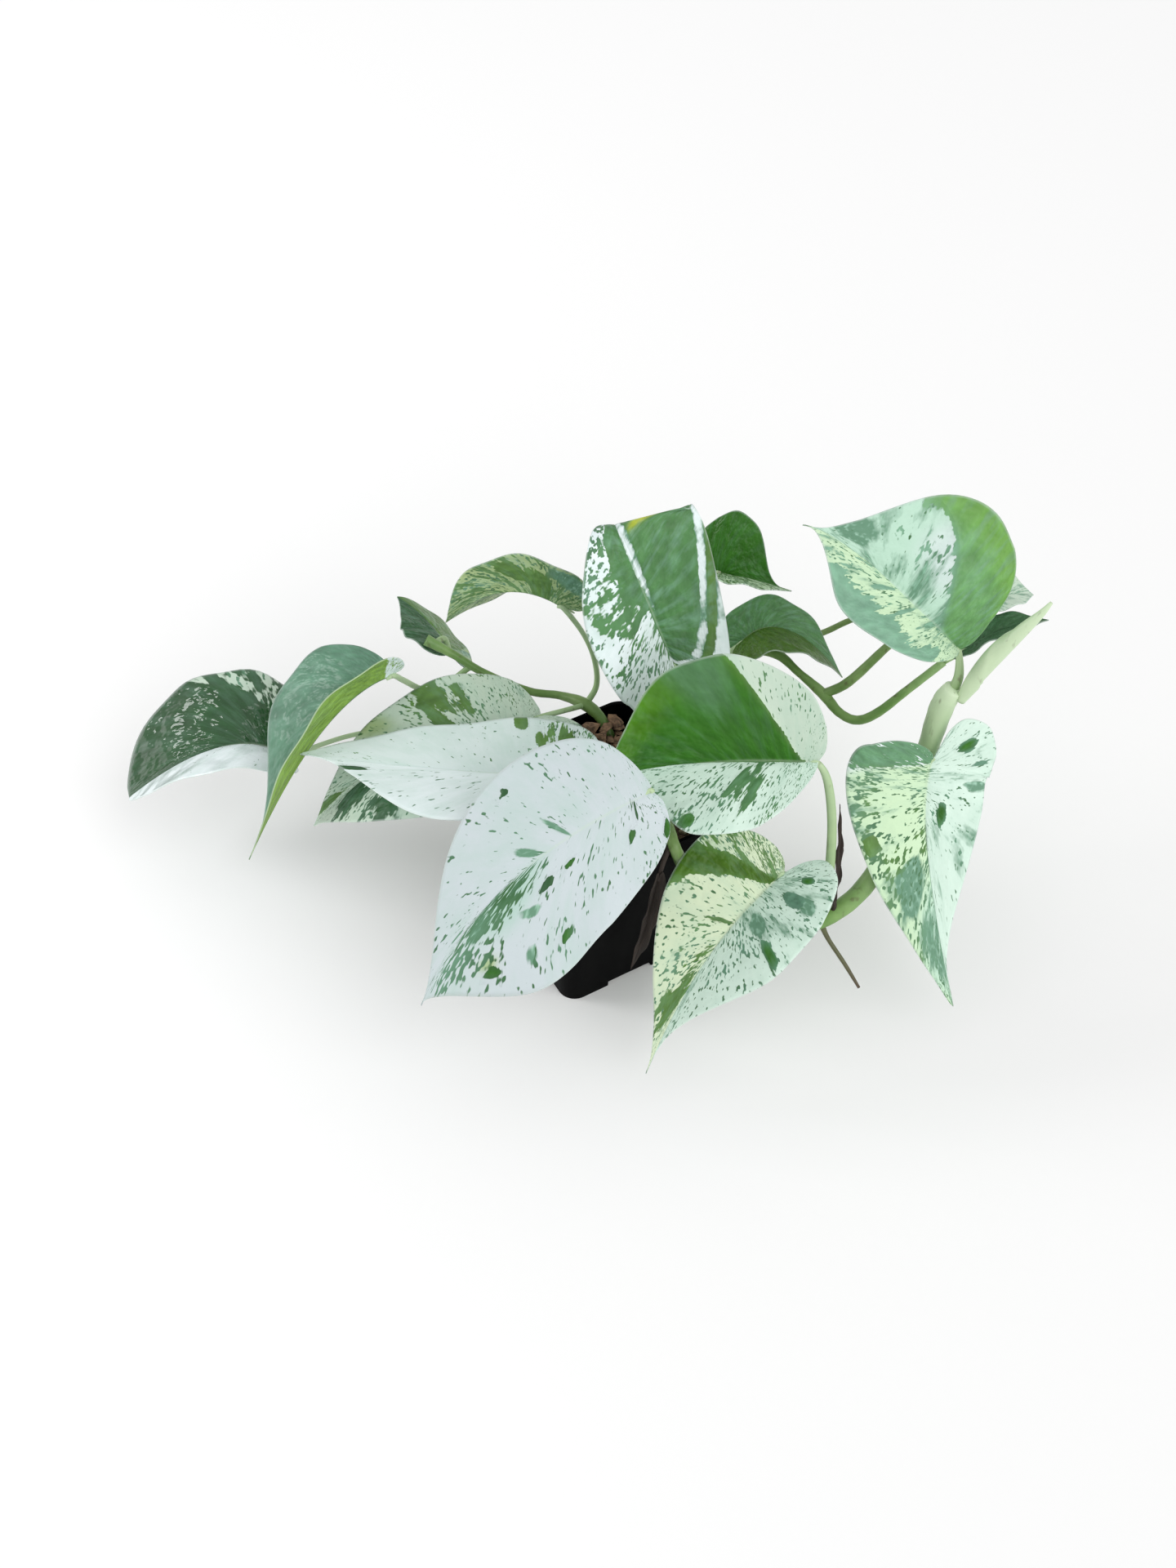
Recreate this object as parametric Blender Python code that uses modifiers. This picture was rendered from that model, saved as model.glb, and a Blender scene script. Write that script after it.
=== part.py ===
"""A potted marble queen pothos: marbled heart-shaped leaves on trailing stems, in a square pot.

Metres, +Z up. The origin is the centre of the pot's underside, on the surface it stands on, and
-Y is the front. The plant's own places are written in millimetres and scaled once, by MM.
"""

import math
import random

import bmesh
import bpy
from mathutils import Matrix, Vector, noise

MM = 0.001
WELD = 0.00001
SEAT_GAP = 0.3
SEED = 7

# The pot, a square nursery pot of 9 x 9 x 10 cm, turned on its base
POT_WIDTH = 90.0
POT_HEIGHT = 100.0
POT_BASE_WIDTH = 68.0
POT_WALL = 1.6
POT_TURN = 30.0
POT_CORNER_RADIUS = 8.5
POT_CORNER_STEPS = 4
RIM_BAND = 9.0
RIM_STEP = 2.0
RIM_SHOULDER = 1.0
DRAIN_HOLE_RADIUS = 4.0
DRAIN_HOLE_PLACE = 16.0
DRAIN_HOLE_SIDES = 12
NOTCH_LENGTH = 24.0
NOTCH_REACH = 9.0
NOTCH_HEIGHT = 7.0

# The soil: rough crumbs, chunks of bark and pebbles on it, and a heap at the back left
SOIL_TOP = 89.0
SOIL_CELLS = 18
SOIL_ROUGHNESS = 2.2
SOIL_CRUMB = 7.0
SOIL_CORNER_PULL = 0.16
HEAP_PLACE = (-20.0, 27.0)
HEAP_REACH = 13.0
HEAP_HEIGHT = 13.0
CHUNK_SPREAD = 34.0
BARK_COUNT = 15
BARK_LENGTH = (6.0, 11.0)
BARK_WIDTH = (3.0, 5.0)
BARK_RISE = (2.0, 5.0)
PEBBLE_COUNT = 12
PEBBLE_LENGTH = (3.0, 4.5)
PEBBLE_WIDTH = (2.6, 3.6)
PEBBLE_RISE = (2.0, 3.0)

# The blades. An outline is one half's, as shares of the blade's length and of its half width
BLADE_THICKNESS = 0.7
BLADE_ROWS = 14
BLADE_COLUMNS = 3
HEART_OUTLINE = (
    (0.00, 0.00),
    (-0.07, 0.12),
    (-0.10, 0.36),
    (-0.05, 0.68),
    (0.11, 0.93),
    (0.32, 1.00),
    (0.54, 0.91),
    (0.75, 0.62),
    (0.90, 0.24),
    (0.96, 0.08),
    (1.00, 0.00),
)
ROUND_OUTLINE = (
    (0.00, 0.00),
    (0.00, 0.16),
    (0.03, 0.42),
    (0.09, 0.70),
    (0.20, 0.91),
    (0.36, 1.00),
    (0.56, 0.91),
    (0.75, 0.62),
    (0.90, 0.24),
    (0.96, 0.08),
    (1.00, 0.00),
)
VEIN_SWEEP = 2.4
SLIM_FROM = 0.4
SLIM_OVER = 0.3
FOLD_FADE = 5
WAVE_HEIGHT = 1.0
WAVE_COUNT = 3.0
WAVE_START = {1: 1.0, -1: 2.6}
STALK_TOP_RADIUS = 1.25
STALK_RIB_RADIUS = 0.9
STALK_RIB_LENGTH = 4.0
STALK_SIDES = 1
STEM_SIDES = 2
ROUTE_STEPS = 3
THIN_SOLVER = "MANIFOLD"


def clear_scene():
    for obj in list(bpy.data.objects):
        bpy.data.objects.remove(obj)


def new_collection(name):
    collection = bpy.data.collections.new(name)
    bpy.context.scene.collection.children.link(collection)
    return collection


def material(name, colour, roughness):
    """A plain Principled finish, in linear colour."""
    made = bpy.data.materials.new(name)
    made.use_nodes = True
    shader = made.node_tree.nodes["Principled BSDF"]
    shader.inputs["Base Color"].default_value = (*colour, 1.0)
    shader.inputs["Roughness"].default_value = roughness
    shader.inputs["Metallic"].default_value = 0.0
    return made


def finish(obj, collection, surface, sharp):
    """Gives a finished solid its collection and material, and shades its round faces smooth."""
    for other in obj.users_collection:
        other.objects.unlink(obj)
    collection.objects.link(obj)
    obj.data.materials.clear()
    obj.data.materials.append(surface)
    obj.data.shade_smooth()
    obj.data.set_sharp_from_angle(angle=math.radians(sharp))
    return obj


def object_from(name, bm, collection):
    mesh = bpy.data.meshes.new(name)
    bm.to_mesh(mesh)
    bm.free()
    obj = bpy.data.objects.new(name, mesh)
    collection.objects.link(obj)
    return obj


def as_cutter(obj):
    obj.hide_render = True
    obj.display_type = "WIRE"
    return obj


def applied(obj, name, collection):
    """A plain mesh of the object as its modifiers leave it. The object itself is removed."""
    bpy.context.view_layer.update()
    graph = bpy.context.evaluated_depsgraph_get()
    mesh = bpy.data.meshes.new_from_object(obj.evaluated_get(graph))
    place = obj.matrix_world.copy()
    bpy.data.objects.remove(obj)
    bm = bmesh.new()
    bm.from_mesh(mesh)
    bmesh.ops.remove_doubles(bm, verts=bm.verts, dist=WELD)
    bm.to_mesh(mesh)
    bm.free()
    made = bpy.data.objects.new(name, mesh)
    made.matrix_world = place
    collection.objects.link(made)
    return made


def boolean(obj, operation, other, solver="EXACT"):
    modifier = obj.modifiers.new(operation.title(), "BOOLEAN")
    modifier.operation = operation
    modifier.solver = solver
    modifier.object = other


def joined(name, pieces, collection, solver="EXACT"):
    """The pieces as one closed body."""
    first, *others = pieces
    for other in others:
        boolean(first, "UNION", other, solver)
    made = applied(first, name, collection)
    for other in others:
        bpy.data.objects.remove(other)
    return made


# Smooth lines through a few chosen points


def spline_point(points, share):
    """The point at this share, 0 to 1, of the Catmull-Rom curve through the points."""
    place = min(max(share, 0.0), 1.0) * (len(points) - 1)
    i = min(int(place), len(points) - 2)
    f = place - i
    before = points[i - 1] if i else points[0] * 2 - points[1]
    after = points[i + 2] if i + 2 < len(points) else points[-1] * 2 - points[-2]
    start, end = points[i], points[i + 1]
    return (
        start * 2
        + (end - before) * f
        + (before * 2 - start * 5 + end * 4 - after) * f**2
        + (start * 3 - before - end * 3 + after) * f**3
    ) * 0.5


def tube(name, route, collection, sides, grow=0.0):
    """A round stem through the route's (x, y, z, radius) points, with closed ends.

    A positive grow makes it that much wider all round, and longer at its far end."""
    points = [Vector(point) for point in route]
    reach = (points[-1] - points[-2]).to_3d().normalized() * grow
    points[-1] += Vector((*reach, 0.0))
    count = (len(points) - 1) * ROUTE_STEPS + 1
    curve = bpy.data.curves.new(name, "CURVE")
    curve.dimensions = "3D"
    curve.bevel_depth = MM
    curve.bevel_resolution = sides
    curve.use_fill_caps = True
    spline = curve.splines.new("POLY")
    spline.points.add(count - 1)
    for i, point in enumerate(spline.points):
        x, y, z, radius = spline_point(points, i / (count - 1))
        point.co = (x * MM, y * MM, z * MM, 1.0)
        point.radius = radius + grow
    obj = bpy.data.objects.new(name, curve)
    collection.objects.link(obj)
    return applied(obj, name, collection)


# The leaf blade


def outline_point(outline, share):
    """A half's outline, from the notch at the stalk (0) round its base to the tip (1)."""
    return spline_point([Vector(point) for point in outline], share)


def half_section(width, fold, curl, across):
    """How far sideways and how high a half reaches at this share of its width."""
    start = math.radians(fold)
    bend = math.radians(curl)
    if abs(bend) < WELD:
        return width * across * math.cos(start), width * across * math.sin(start)
    end = start + bend * across
    return (
        width * (math.sin(end) - math.sin(start)) / bend,
        width * (math.cos(start) - math.cos(end)) / bend,
    )


def midrib_frame(leaf, along):
    """The midrib's point and its forward, up and left directions at a share of the length.

    The leaf's facing holds at the crown, and is carried from there along the bend."""
    base, crown, tip = (Vector(leaf[part]) for part in ("base", "crown", "tip"))
    control = crown * 2 - (base + tip) / 2
    held = min(max(along, 0.0), 1.0)
    place = base * (1 - held) ** 2 + control * 2 * held * (1 - held) + tip * held**2
    slope = (control - base) * (1 - held) + (tip - control) * held
    if along < 0.0:
        place += slope * 2 * along
    forward = slope.normalized()
    chord = (tip - base).normalized()
    facing = Vector(leaf["facing"])
    up = chord.rotation_difference(forward) @ (facing - chord * facing.dot(chord)).normalized()
    return place, forward, up, up.cross(forward)


def edge_point(half, row):
    """The half's edge at this row: its share of the length, and of the half width.

    A lobe of 0 gives the round outline, 1 the heart's, and more a deeper notch at the stalk."""
    _, _, _, lobe, belly, slim = half
    plain = outline_point(ROUND_OUTLINE, row)
    along, across = plain + (outline_point(HEART_OUTLINE, row) - plain) * lobe
    if along > 0:
        along += belly * 4 * along * (1 - along)
    slimming = min(max((row - SLIM_FROM) / SLIM_OVER, 0.0), 1.0)
    return along, max(across, 0.0) ** (1 + (slim - 1) * slimming)


def blade_point(leaf, side, row):
    """A point of the blade: side runs from -1 (right edge) to 1 (left edge), row from 0 to 1."""
    sign = 1 if side > 0 else -1
    half = leaf["left" if side > 0 else "right"]
    width, fold, curl, _, _, _ = half
    edge_along, edge_across = edge_point(half, row)
    across = abs(side)
    stem_along = row**VEIN_SWEEP
    along = stem_along + (edge_along - stem_along) * across
    open_up = 1 - row**FOLD_FADE
    sideways, height = half_section(width, fold * open_up, curl * open_up, edge_across * across)
    turn = 2 * math.pi * WAVE_COUNT * edge_along + WAVE_START[sign]
    ripple = WAVE_HEIGHT * across**2 * edge_across * math.sin(turn)
    place, _, up, left = midrib_frame(leaf, along)
    return place + left * sign * sideways + up * (height + ripple)


def blade(name, leaf, collection):
    """A thin blade: a grid bent to the leaf's form, cut in triangles and given its thickness."""
    bm = bmesh.new()
    bmesh.ops.create_grid(bm, x_segments=2 * BLADE_COLUMNS, y_segments=BLADE_ROWS, size=1.0)
    for vert in bm.verts:
        vert.co = blade_point(leaf, vert.co.x, (vert.co.y + 1) / 2) * MM
    bmesh.ops.remove_doubles(bm, verts=bm.verts, dist=5 * WELD)
    bmesh.ops.triangulate(bm, faces=bm.faces)
    bmesh.ops.recalc_face_normals(bm, faces=bm.faces)
    obj = object_from(name, bm, collection)
    thick = obj.modifiers.new("Thickness", "SOLIDIFY")
    thick.thickness = BLADE_THICKNESS * MM
    thick.offset = 0.0
    thick.use_even_offset = False
    return applied(obj, name, collection)


def make_leaf(name, leaf, collection, surface, stem_clearance):
    """A blade and its stalk as one body, cut to sit round the stem that carries it."""
    base = Vector(leaf["base"])
    _, forward, _, _ = midrib_frame(leaf, 0.0)
    rib_end = base + forward * STALK_RIB_LENGTH
    route = [*leaf["stalk"], (*base, STALK_TOP_RADIUS), (*rib_end, STALK_RIB_RADIUS)]
    stalk = tube(name + "_stalk", route, collection, STALK_SIDES)
    plate = blade(name + "_blade", leaf, collection)
    whole = joined(name, [stalk, plate], collection, THIN_SOLVER)
    boolean(whole, "DIFFERENCE", stem_clearance, THIN_SOLVER)
    return finish(applied(whole, name, collection), collection, surface, 60.0)


def make_furled_leaf(name, route, collection, surface, stem_clearance):
    """The newest leaf, still rolled up in a spindle on the end of its stem."""
    spindle = tube(name, route, collection, STEM_SIDES)
    boolean(spindle, "DIFFERENCE", stem_clearance, THIN_SOLVER)
    return finish(applied(spindle, name, collection), collection, surface, 60.0)


# The pot


def pot_width_at(height):
    """The outer width of the pot's sloping wall at this height."""
    return POT_BASE_WIDTH + (POT_WIDTH - 2 * RIM_STEP - POT_BASE_WIDTH) * height / POT_HEIGHT


def pot_rings():
    """(width, height) of the shell, from the underside up its outside and down its inside."""
    band_low = POT_HEIGHT - RIM_BAND
    walls = 2 * POT_WALL
    return (
        (POT_BASE_WIDTH, 0.0),
        (pot_width_at(band_low), band_low),
        (POT_WIDTH, band_low + RIM_SHOULDER),
        (POT_WIDTH, POT_HEIGHT),
        (POT_WIDTH - walls, POT_HEIGHT),
        (pot_width_at(band_low) - walls, band_low - RIM_SHOULDER),
        (pot_width_at(POT_WALL) - walls, POT_WALL),
    )


def drawn_shell(bm, rings):
    """A square plate with round corners, drawn out from ring to ring into a closed shell.

    Each plate on the way is taken out, but for the underside and the last, the inner floor."""
    width, height = rings[0]
    bmesh.ops.create_grid(bm, x_segments=1, y_segments=1, size=width / 2 * MM)
    bmesh.ops.bevel(
        bm,
        geom=bm.verts[:],
        offset=POT_CORNER_RADIUS * MM,
        segments=POT_CORNER_STEPS,
        profile=0.5,
        affect="VERTICES",
        material=-1,
    )
    bm.faces.ensure_lookup_table()
    top = bm.faces[0]
    for next_width, next_height in rings[1:]:
        drawn = bmesh.ops.extrude_face_region(bm, geom=[top])["geom"]
        if height > 0.0:
            bmesh.ops.delete(bm, geom=[top], context="FACES_ONLY")
        verts = [item for item in drawn if isinstance(item, bmesh.types.BMVert)]
        top = [item for item in drawn if isinstance(item, bmesh.types.BMFace)][0]
        spread = next_width / width
        bmesh.ops.scale(bm, verts=verts, vec=(spread, spread, 1.0))
        bmesh.ops.translate(bm, verts=verts, vec=(0.0, 0.0, (next_height - height) * MM))
        width, height = next_width, next_height
    bmesh.ops.recalc_face_normals(bm, faces=bm.faces)


def pot_cutters(cutters):
    """Four round drain holes in the floor, and a shallow notch under the middle of each side."""
    made = []
    for side in range(4):
        turn = Matrix.Rotation(math.radians(POT_TURN + 90 * side), 4, "Z")
        bm = bmesh.new()
        bmesh.ops.create_cone(
            bm,
            cap_ends=True,
            segments=DRAIN_HOLE_SIDES,
            radius1=DRAIN_HOLE_RADIUS * MM,
            radius2=DRAIN_HOLE_RADIUS * MM,
            depth=3 * POT_WALL * MM,
            matrix=turn @ Matrix.Translation((DRAIN_HOLE_PLACE * MM, 0.0, 0.0)),
        )
        made.append(object_from(f"drain_hole_{side + 1}", bm, cutters))
        place = turn @ Matrix.Translation((POT_BASE_WIDTH / 2 * MM, 0.0, 0.0))
        size = Matrix.Diagonal((NOTCH_REACH * MM, NOTCH_LENGTH * MM, NOTCH_HEIGHT * MM, 1.0))
        bm = bmesh.new()
        bmesh.ops.create_cube(bm, size=1.0, matrix=place @ size)
        made.append(object_from(f"foot_notch_{side + 1}", bm, cutters))
    return [as_cutter(cutter) for cutter in made]


def make_pot(parts, cutters, surface):
    bm = bmesh.new()
    drawn_shell(bm, pot_rings())
    bmesh.ops.rotate(bm, verts=bm.verts, matrix=Matrix.Rotation(math.radians(POT_TURN), 3, "Z"))
    pot = object_from("pot", bm, parts)
    for cutter in pot_cutters(cutters):
        boolean(pot, "DIFFERENCE", cutter)
    return finish(pot, parts, surface, 30.0)


# The soil


def chunks():
    """Seeded bark and pebbles: (x, y, half length, half width, rise, turn) of each."""
    draw = random.Random(SEED)
    made = []
    for i in range(BARK_COUNT + PEBBLE_COUNT):
        bark = i < BARK_COUNT
        angle = draw.uniform(0, 2 * math.pi)
        reach = CHUNK_SPREAD * math.sqrt(draw.random())
        length = draw.uniform(*(BARK_LENGTH if bark else PEBBLE_LENGTH))
        width = draw.uniform(*(BARK_WIDTH if bark else PEBBLE_WIDTH))
        rise = draw.uniform(*(BARK_RISE if bark else PEBBLE_RISE))
        place = (reach * math.cos(angle), reach * math.sin(angle))
        made.append((*place, length, width, rise, draw.uniform(0, math.pi)))
    return made


def soil_height(x, y, lying, edge):
    """The soil's top: rough crumbs, the heap, and domes where bark and pebbles lie.

    Edge is 0 in the middle and 1 at the pot's wall, where only the crumbs are left."""
    crumb = noise.noise(Vector((x / SOIL_CRUMB, y / SOIL_CRUMB, SEED)))
    heap_x, heap_y = HEAP_PLACE
    away = ((x - heap_x) ** 2 + (y - heap_y) ** 2) / HEAP_REACH**2
    heap = HEAP_HEIGHT * math.exp(-away)
    dome = 0.0
    for chunk_x, chunk_y, length, width, rise, turn in lying:
        dx, dy = x - chunk_x, y - chunk_y
        along = (dx * math.cos(turn) + dy * math.sin(turn)) / length
        across = (dy * math.cos(turn) - dx * math.sin(turn)) / width
        dome = max(dome, rise * max(0.0, 1.0 - along**2 - across**2) ** 0.5)
    return SOIL_TOP + SOIL_ROUGHNESS * crumb + (heap + dome) * (1.0 - edge**6)


def make_soil(parts, surface, stems):
    """A block that fills the pot to below its rim, with a hole for each stem that stands in it."""
    lying = chunks()
    lowest_top = SOIL_TOP - SOIL_ROUGHNESS
    half_top = pot_width_at(lowest_top) / 2 - POT_WALL - SEAT_GAP
    half_floor = pot_width_at(POT_WALL) / 2 - POT_WALL - SEAT_GAP
    bm = bmesh.new()
    bmesh.ops.create_grid(bm, x_segments=SOIL_CELLS, y_segments=SOIL_CELLS, size=1.0)
    rim = [edge for edge in bm.edges if edge.is_boundary]
    turn = Matrix.Rotation(math.radians(POT_TURN), 2)
    for vert in bm.verts:
        u, v = vert.co.x, vert.co.y
        pull = 1.0 - SOIL_CORNER_PULL * (u * v) ** 4
        x, y = turn @ Vector((u, v)) * half_top * pull
        vert.co = Vector((x, y, soil_height(x, y, lying, max(abs(u), abs(v))))) * MM
    drawn = bmesh.ops.extrude_edge_only(bm, edges=rim)["geom"]
    low = [item for item in drawn if isinstance(item, bmesh.types.BMVert)]
    for vert in low:
        vert.co.x *= half_floor / half_top
        vert.co.y *= half_floor / half_top
        vert.co.z = (POT_WALL + SEAT_GAP) * MM
    floor = [edge for edge in bm.edges if edge.is_boundary]
    bmesh.ops.contextual_create(bm, geom=low + floor)
    bmesh.ops.recalc_face_normals(bm, faces=bm.faces)
    soil = object_from("soil", bm, parts)
    for stem in stems:
        boolean(soil, "DIFFERENCE", stem)
    return finish(applied(soil, "soil", parts), parts, surface, 50.0)


# The stems: each is one or more (x, y, z, radius) routes in millimetres, the first from the soil

STEMS = {
    "stem_front": (
        (
            (26, -4, 66, 2.6),
            (30, -9, 88, 2.7),
            (32, -24, 105, 2.7),
            (35, -37, 105, 2.7),
            (39, -36, 92, 3.0),
            (45, -34, 75, 3.2),
            (57, -33, 60, 3.4),
            (72, -33, 51, 3.6),
            (88, -36, 50, 3.9),
            (103, -40, 57, 4.3),
            (122, -32, 70, 4.3),
            (138, -16, 96, 4.4),
            (147, 0, 124, 4.6),
            (152, 7, 148, 5.4),
            (156, 8, 158, 4.6),
        ),
        ((103, -40, 56, 1.6), (107, -44, 48, 1.1), (115, -51, 38, 1.0), (122, -57, 28, 0.7)),
    ),
    "stem_left": (
        (
            (10, 34, 64, 2.4),
            (9, 38, 88, 2.4),
            (4, 44, 100, 2.4),
            (-4, 50, 105, 3.0),
            (-16, 57, 104, 2.0),
            (-31, 61, 103, 1.9),
            (-52, 67, 109, 1.9),
            (-66, 71, 117, 2.0),
            (-79, 74, 124, 2.8),
        ),
    ),
    "stem_back": (
        (
            (22, 22, 64, 2.5),
            (24, 26, 90, 2.5),
            (33, 40, 108, 2.3),
            (50, 60, 113, 2.2),
            (69, 74, 116, 2.1),
            (85, 70, 119, 2.4),
            (96, 61, 115, 1.9),
            (107, 52, 110, 2.6),
            (114, 43, 107, 2.2),
            (122, 39, 106, 2.2),
            (131, 39, 111, 2.2),
            (144, 43, 122, 2.0),
            (160, 50, 133, 1.9),
        ),
        (
            (85, 70, 119, 1.9),
            (96, 78, 118, 1.6),
            (110, 82, 122, 1.5),
            (125, 83, 130, 1.4),
            (150, 80, 138, 1.3),
        ),
        ((107, 52, 110, 2.2), (118, 52, 118, 2.3), (134, 58, 134, 2.0), (142, 61, 141, 1.7)),
    ),
    "stem_centre": (
        ((12, 4, 64, 3.6), (12, 4, 90, 3.6), (12, 5, 102, 4.2), (12, 6, 112, 3.2)),
    ),
}

FURLED_LEAF = (
    (158.5, 4.6, 154.0, 2.5),
    (164.0, 7.0, 165.0, 4.2),
    (171.0, 9.0, 177.0, 4.6),
    (180.0, 11.0, 189.0, 3.4),
    (187.0, 12.0, 198.0, 1.9),
    (191.0, 13.0, 204.0, 0.8),
)

# The leaves. Base, crown and tip are the midrib's places in millimetres, and facing is the way
# the blade looks at its crown. A half is (half width in millimetres, fold and curl in degrees,
# lobe's length, belly's shift to the tip, slimness to the tip). A stalk is a route from its stem.

LEAVES = {
    "leaf_far_left": {
        "look": "marbled",
        "stem": "stem_left",
        "base": (-149, 55, 64),
        "crown": (-180, 49, 77),
        "tip": (-230, 52, 37),
        "facing": (0, 0, 1),
        "left": (24, 22, -12, 0.15, -0.1, 0.5),
        "right": (39, 32, -18, 1.4, 0.3, 2.3),
        "stalk": ((-52, 67, 109, 1.3), (-68, 69, 86, 1.3), (-95, 69, 71, 1.3), (-122, 64, 68, 1.2)),
    },
    "leaf_folded_left": {
        "look": "marbled",
        "stem": "stem_left",
        "base": (-91, 39, 136),
        "crown": (-124, 18, 120),
        "tip": (-161, -7, 60),
        "facing": (-0.7, 0.1, 0.7),
        "left": (15, 58, -15, 0.7, -0.05, 1.1),
        "right": (37, 37, -15, 0.05, 0.08, 3.2),
        "stalk": ((-58, 69, 112, 1.5), (-70, 66, 103, 1.5), (-80, 59, 106, 1.4), (-88, 49, 122, 1.4)),
    },
    "leaf_small_back": {
        "look": "marbled",
        "stem": "stem_left",
        "base": (-13, 59, 158),
        "crown": (-41, 64, 164),
        "tip": (-69, 71, 138),
        "facing": (0, 0.77, 0.64),
        "left": (19, 50, 0, 1, 0, 1),
        "right": (22, 10, 0, 1, 0, 1),
        "stalk": ((-4, 50, 105, 1.5), (1, 56, 112, 1.4), (0, 59, 126, 1.3), (-5, 59, 142, 1.2)),
    },
    "leaf_back_left": {
        "look": "green",
        "stem": "stem_left",
        "base": (-69, 79, 111),
        "crown": (-79, 96, 114),
        "tip": (-95, 107, 121),
        "facing": (0.2, 0.1, 1),
        "left": (24, 20, 0, 1, 0, 1),
        "right": (26, -40, 0, 1, 0, 1),
        "stalk": ((-76, 73, 122, 1.3), (-71, 80, 119, 1.4)),
    },
    "leaf_low_left": {
        "look": "white",
        "stem": "stem_left",
        "base": (-25, 38, 110),
        "crown": (-88, 15, 106),
        "tip": (-131, 6, 69),
        "facing": (0, 0, 1),
        "left": (42, 6, -20, 1, -0.1, 1),
        "right": (30, 25, -10, 0, -0.11, 1),
        "stalk": ((-4, 50, 105, 1.4), (-12, 44, 108, 1.3)),
    },
    "leaf_white_left": {
        "look": "white",
        "stem": "stem_centre",
        "base": (5, -4, 114),
        "crown": (-67, -3, 118),
        "tip": (-133, 9.5, 114.5),
        "facing": (0, 0.05, 1),
        "left": (37, 12, -5, 0, 0.03, 2.4),
        "right": (28, 23, -5, 0, -0.19, 0.7),
        "stalk": ((11, 3, 103, 2.0), (12, 0, 109, 1.8), (10, -3, 113, 1.6)),
    },
    "leaf_white_front": {
        "look": "white",
        "stem": "stem_centre",
        "base": (24, -44, 149),
        "crown": (-37, -71, 120),
        "tip": (-76, -90, 60),
        "facing": (0, -0.6, 0.8),
        "left": (45, -5, -15, 0.25, 0.23, 3.5),
        "right": (41, -5, -15, 0, -0.1, 1.6),
        "stalk": ((13, 1, 99, 2.2), (16, -14, 104, 2.0), (18, -38, 113, 1.9), (20, -49, 131, 1.8)),
    },
    "leaf_green_centre": {
        "look": "marbled",
        "stem": "stem_front",
        "base": (95, -26, 148),
        "crown": (40, -17, 137),
        "tip": (-2, -23, 130),
        "facing": (0, 0, 1),
        "left": (41, 3, -10, 0, 0, 2.4),
        "right": (47, 67, -15, 0.45, 0, 1.8),
        "stalk": ((103, -41, 60, 2.6), (104, -41, 86, 2.3), (103, -36, 118, 2.1), (100, -29, 138, 1.9)),
    },
    "leaf_arched_back": {
        "look": "marbled",
        "stem": "stem_centre",
        "base": (36, 34, 146),
        "crown": (9, 46, 216),
        "tip": (20, 80, 150),
        "facing": (0, 0, 1),
        "left": (33, 10, -10, 1.35, -0.2, 4),
        "right": (36, 10, -10, 1, 0, 1),
        "stalk": ((14, 9, 107, 2.0), (22, 18, 120, 1.8), (32, 30, 138, 1.6)),
    },
    "leaf_back_cup": {
        "look": "green",
        "stem": "stem_back",
        "base": (54, 73, 166),
        "crown": (64, 70, 168),
        "tip": (89, 65, 163),
        "facing": (0, 0, 1),
        "left": (29, 74, -20, 0, 0.07, 3.5),
        "right": (16, 30, 0, 1, 0, 1),
        "stalk": ((56, 66, 114, 1.4), (51, 73, 130, 1.3), (52, 75, 150, 1.2)),
    },
    "leaf_back_dark": {
        "look": "green",
        "stem": "stem_back",
        "base": (67, 67, 128),
        "crown": (89, 71, 134),
        "tip": (118, 69, 104),
        "facing": (0, 0, 1),
        "left": (15, 35, -10, 1, 0, 1),
        "right": (20, 15, -10, 1, 0, 1),
        "stalk": ((52, 62, 113, 1.3), (58, 63, 120, 1.2)),
    },
    "leaf_upper_right": {
        "look": "marbled",
        "stem": "stem_front",
        "base": (158, 20, 170),
        "crown": (114, 32, 211),
        "tip": (86, 31, 231),
        "facing": (0, -0.7, 0.7),
        "left": (29, 35, -10, 0, 0.05, 3.5),
        "right": (51, 17, -15, 0.15, -0.13, 3),
        "stalk": ((154, 8, 152, 2.6), (158, 12, 161, 2.2)),
    },
    "leaf_lower_right": {
        "look": "white",
        "stem": "stem_front",
        "base": (149, -7, 129),
        "crown": (149, -24, 92),
        "tip": (166, -62, 20),
        "facing": (0, -0.75, 0.65),
        "left": (27, 3, -15, 4.3, 0.07, 3.5),
        "right": (39, 20, -15, 1.25, -0.22, 0.75),
        "stalk": ((143, -8, 108, 2.2), (149, -4, 119, 1.8)),
    },
    "leaf_lower_centre": {
        "look": "white",
        "stem": "stem_front",
        "base": (83, -45, 96),
        "crown": (50, -70, 68),
        "tip": (23, -99, 20),
        "facing": (0, -0.65, 0.75),
        "left": (34, 45, -15, 1.7, -0.05, 2.5),
        "right": (37, 8, -15, 0.6, -0.16, 1.4),
        "stalk": ((88, -36, 50, 2.0), (94, -37, 64, 1.8), (90, -41, 83, 1.6)),
    },
    "leaf_far_right_dark": {
        "look": "green",
        "stem": "stem_back",
        "base": (168, 53, 137),
        "crown": (186, 58, 146),
        "tip": (208, 64, 146),
        "facing": (0, 0.2, 1),
        "left": (10, 20, 0, 1, 0, 1),
        "right": (10, 20, 0, 1, 0, 1),
        "stalk": ((160, 50, 133, 1.3),),
    },
    "leaf_far_right_pale": {
        "look": "white",
        "stem": "stem_back",
        "base": (172, 78, 143),
        "crown": (188, 78, 149),
        "tip": (204, 82, 145),
        "facing": (0, 0, 1),
        "left": (14, 30, 0, 1, 0, 1),
        "right": (12, 10, 0, 1, 0, 1),
        "stalk": ((150, 80, 138, 1.2), (162, 79, 141, 1.1)),
    },
}

# Dried sheaths that hang on the front stem, written as narrow leaves

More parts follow.
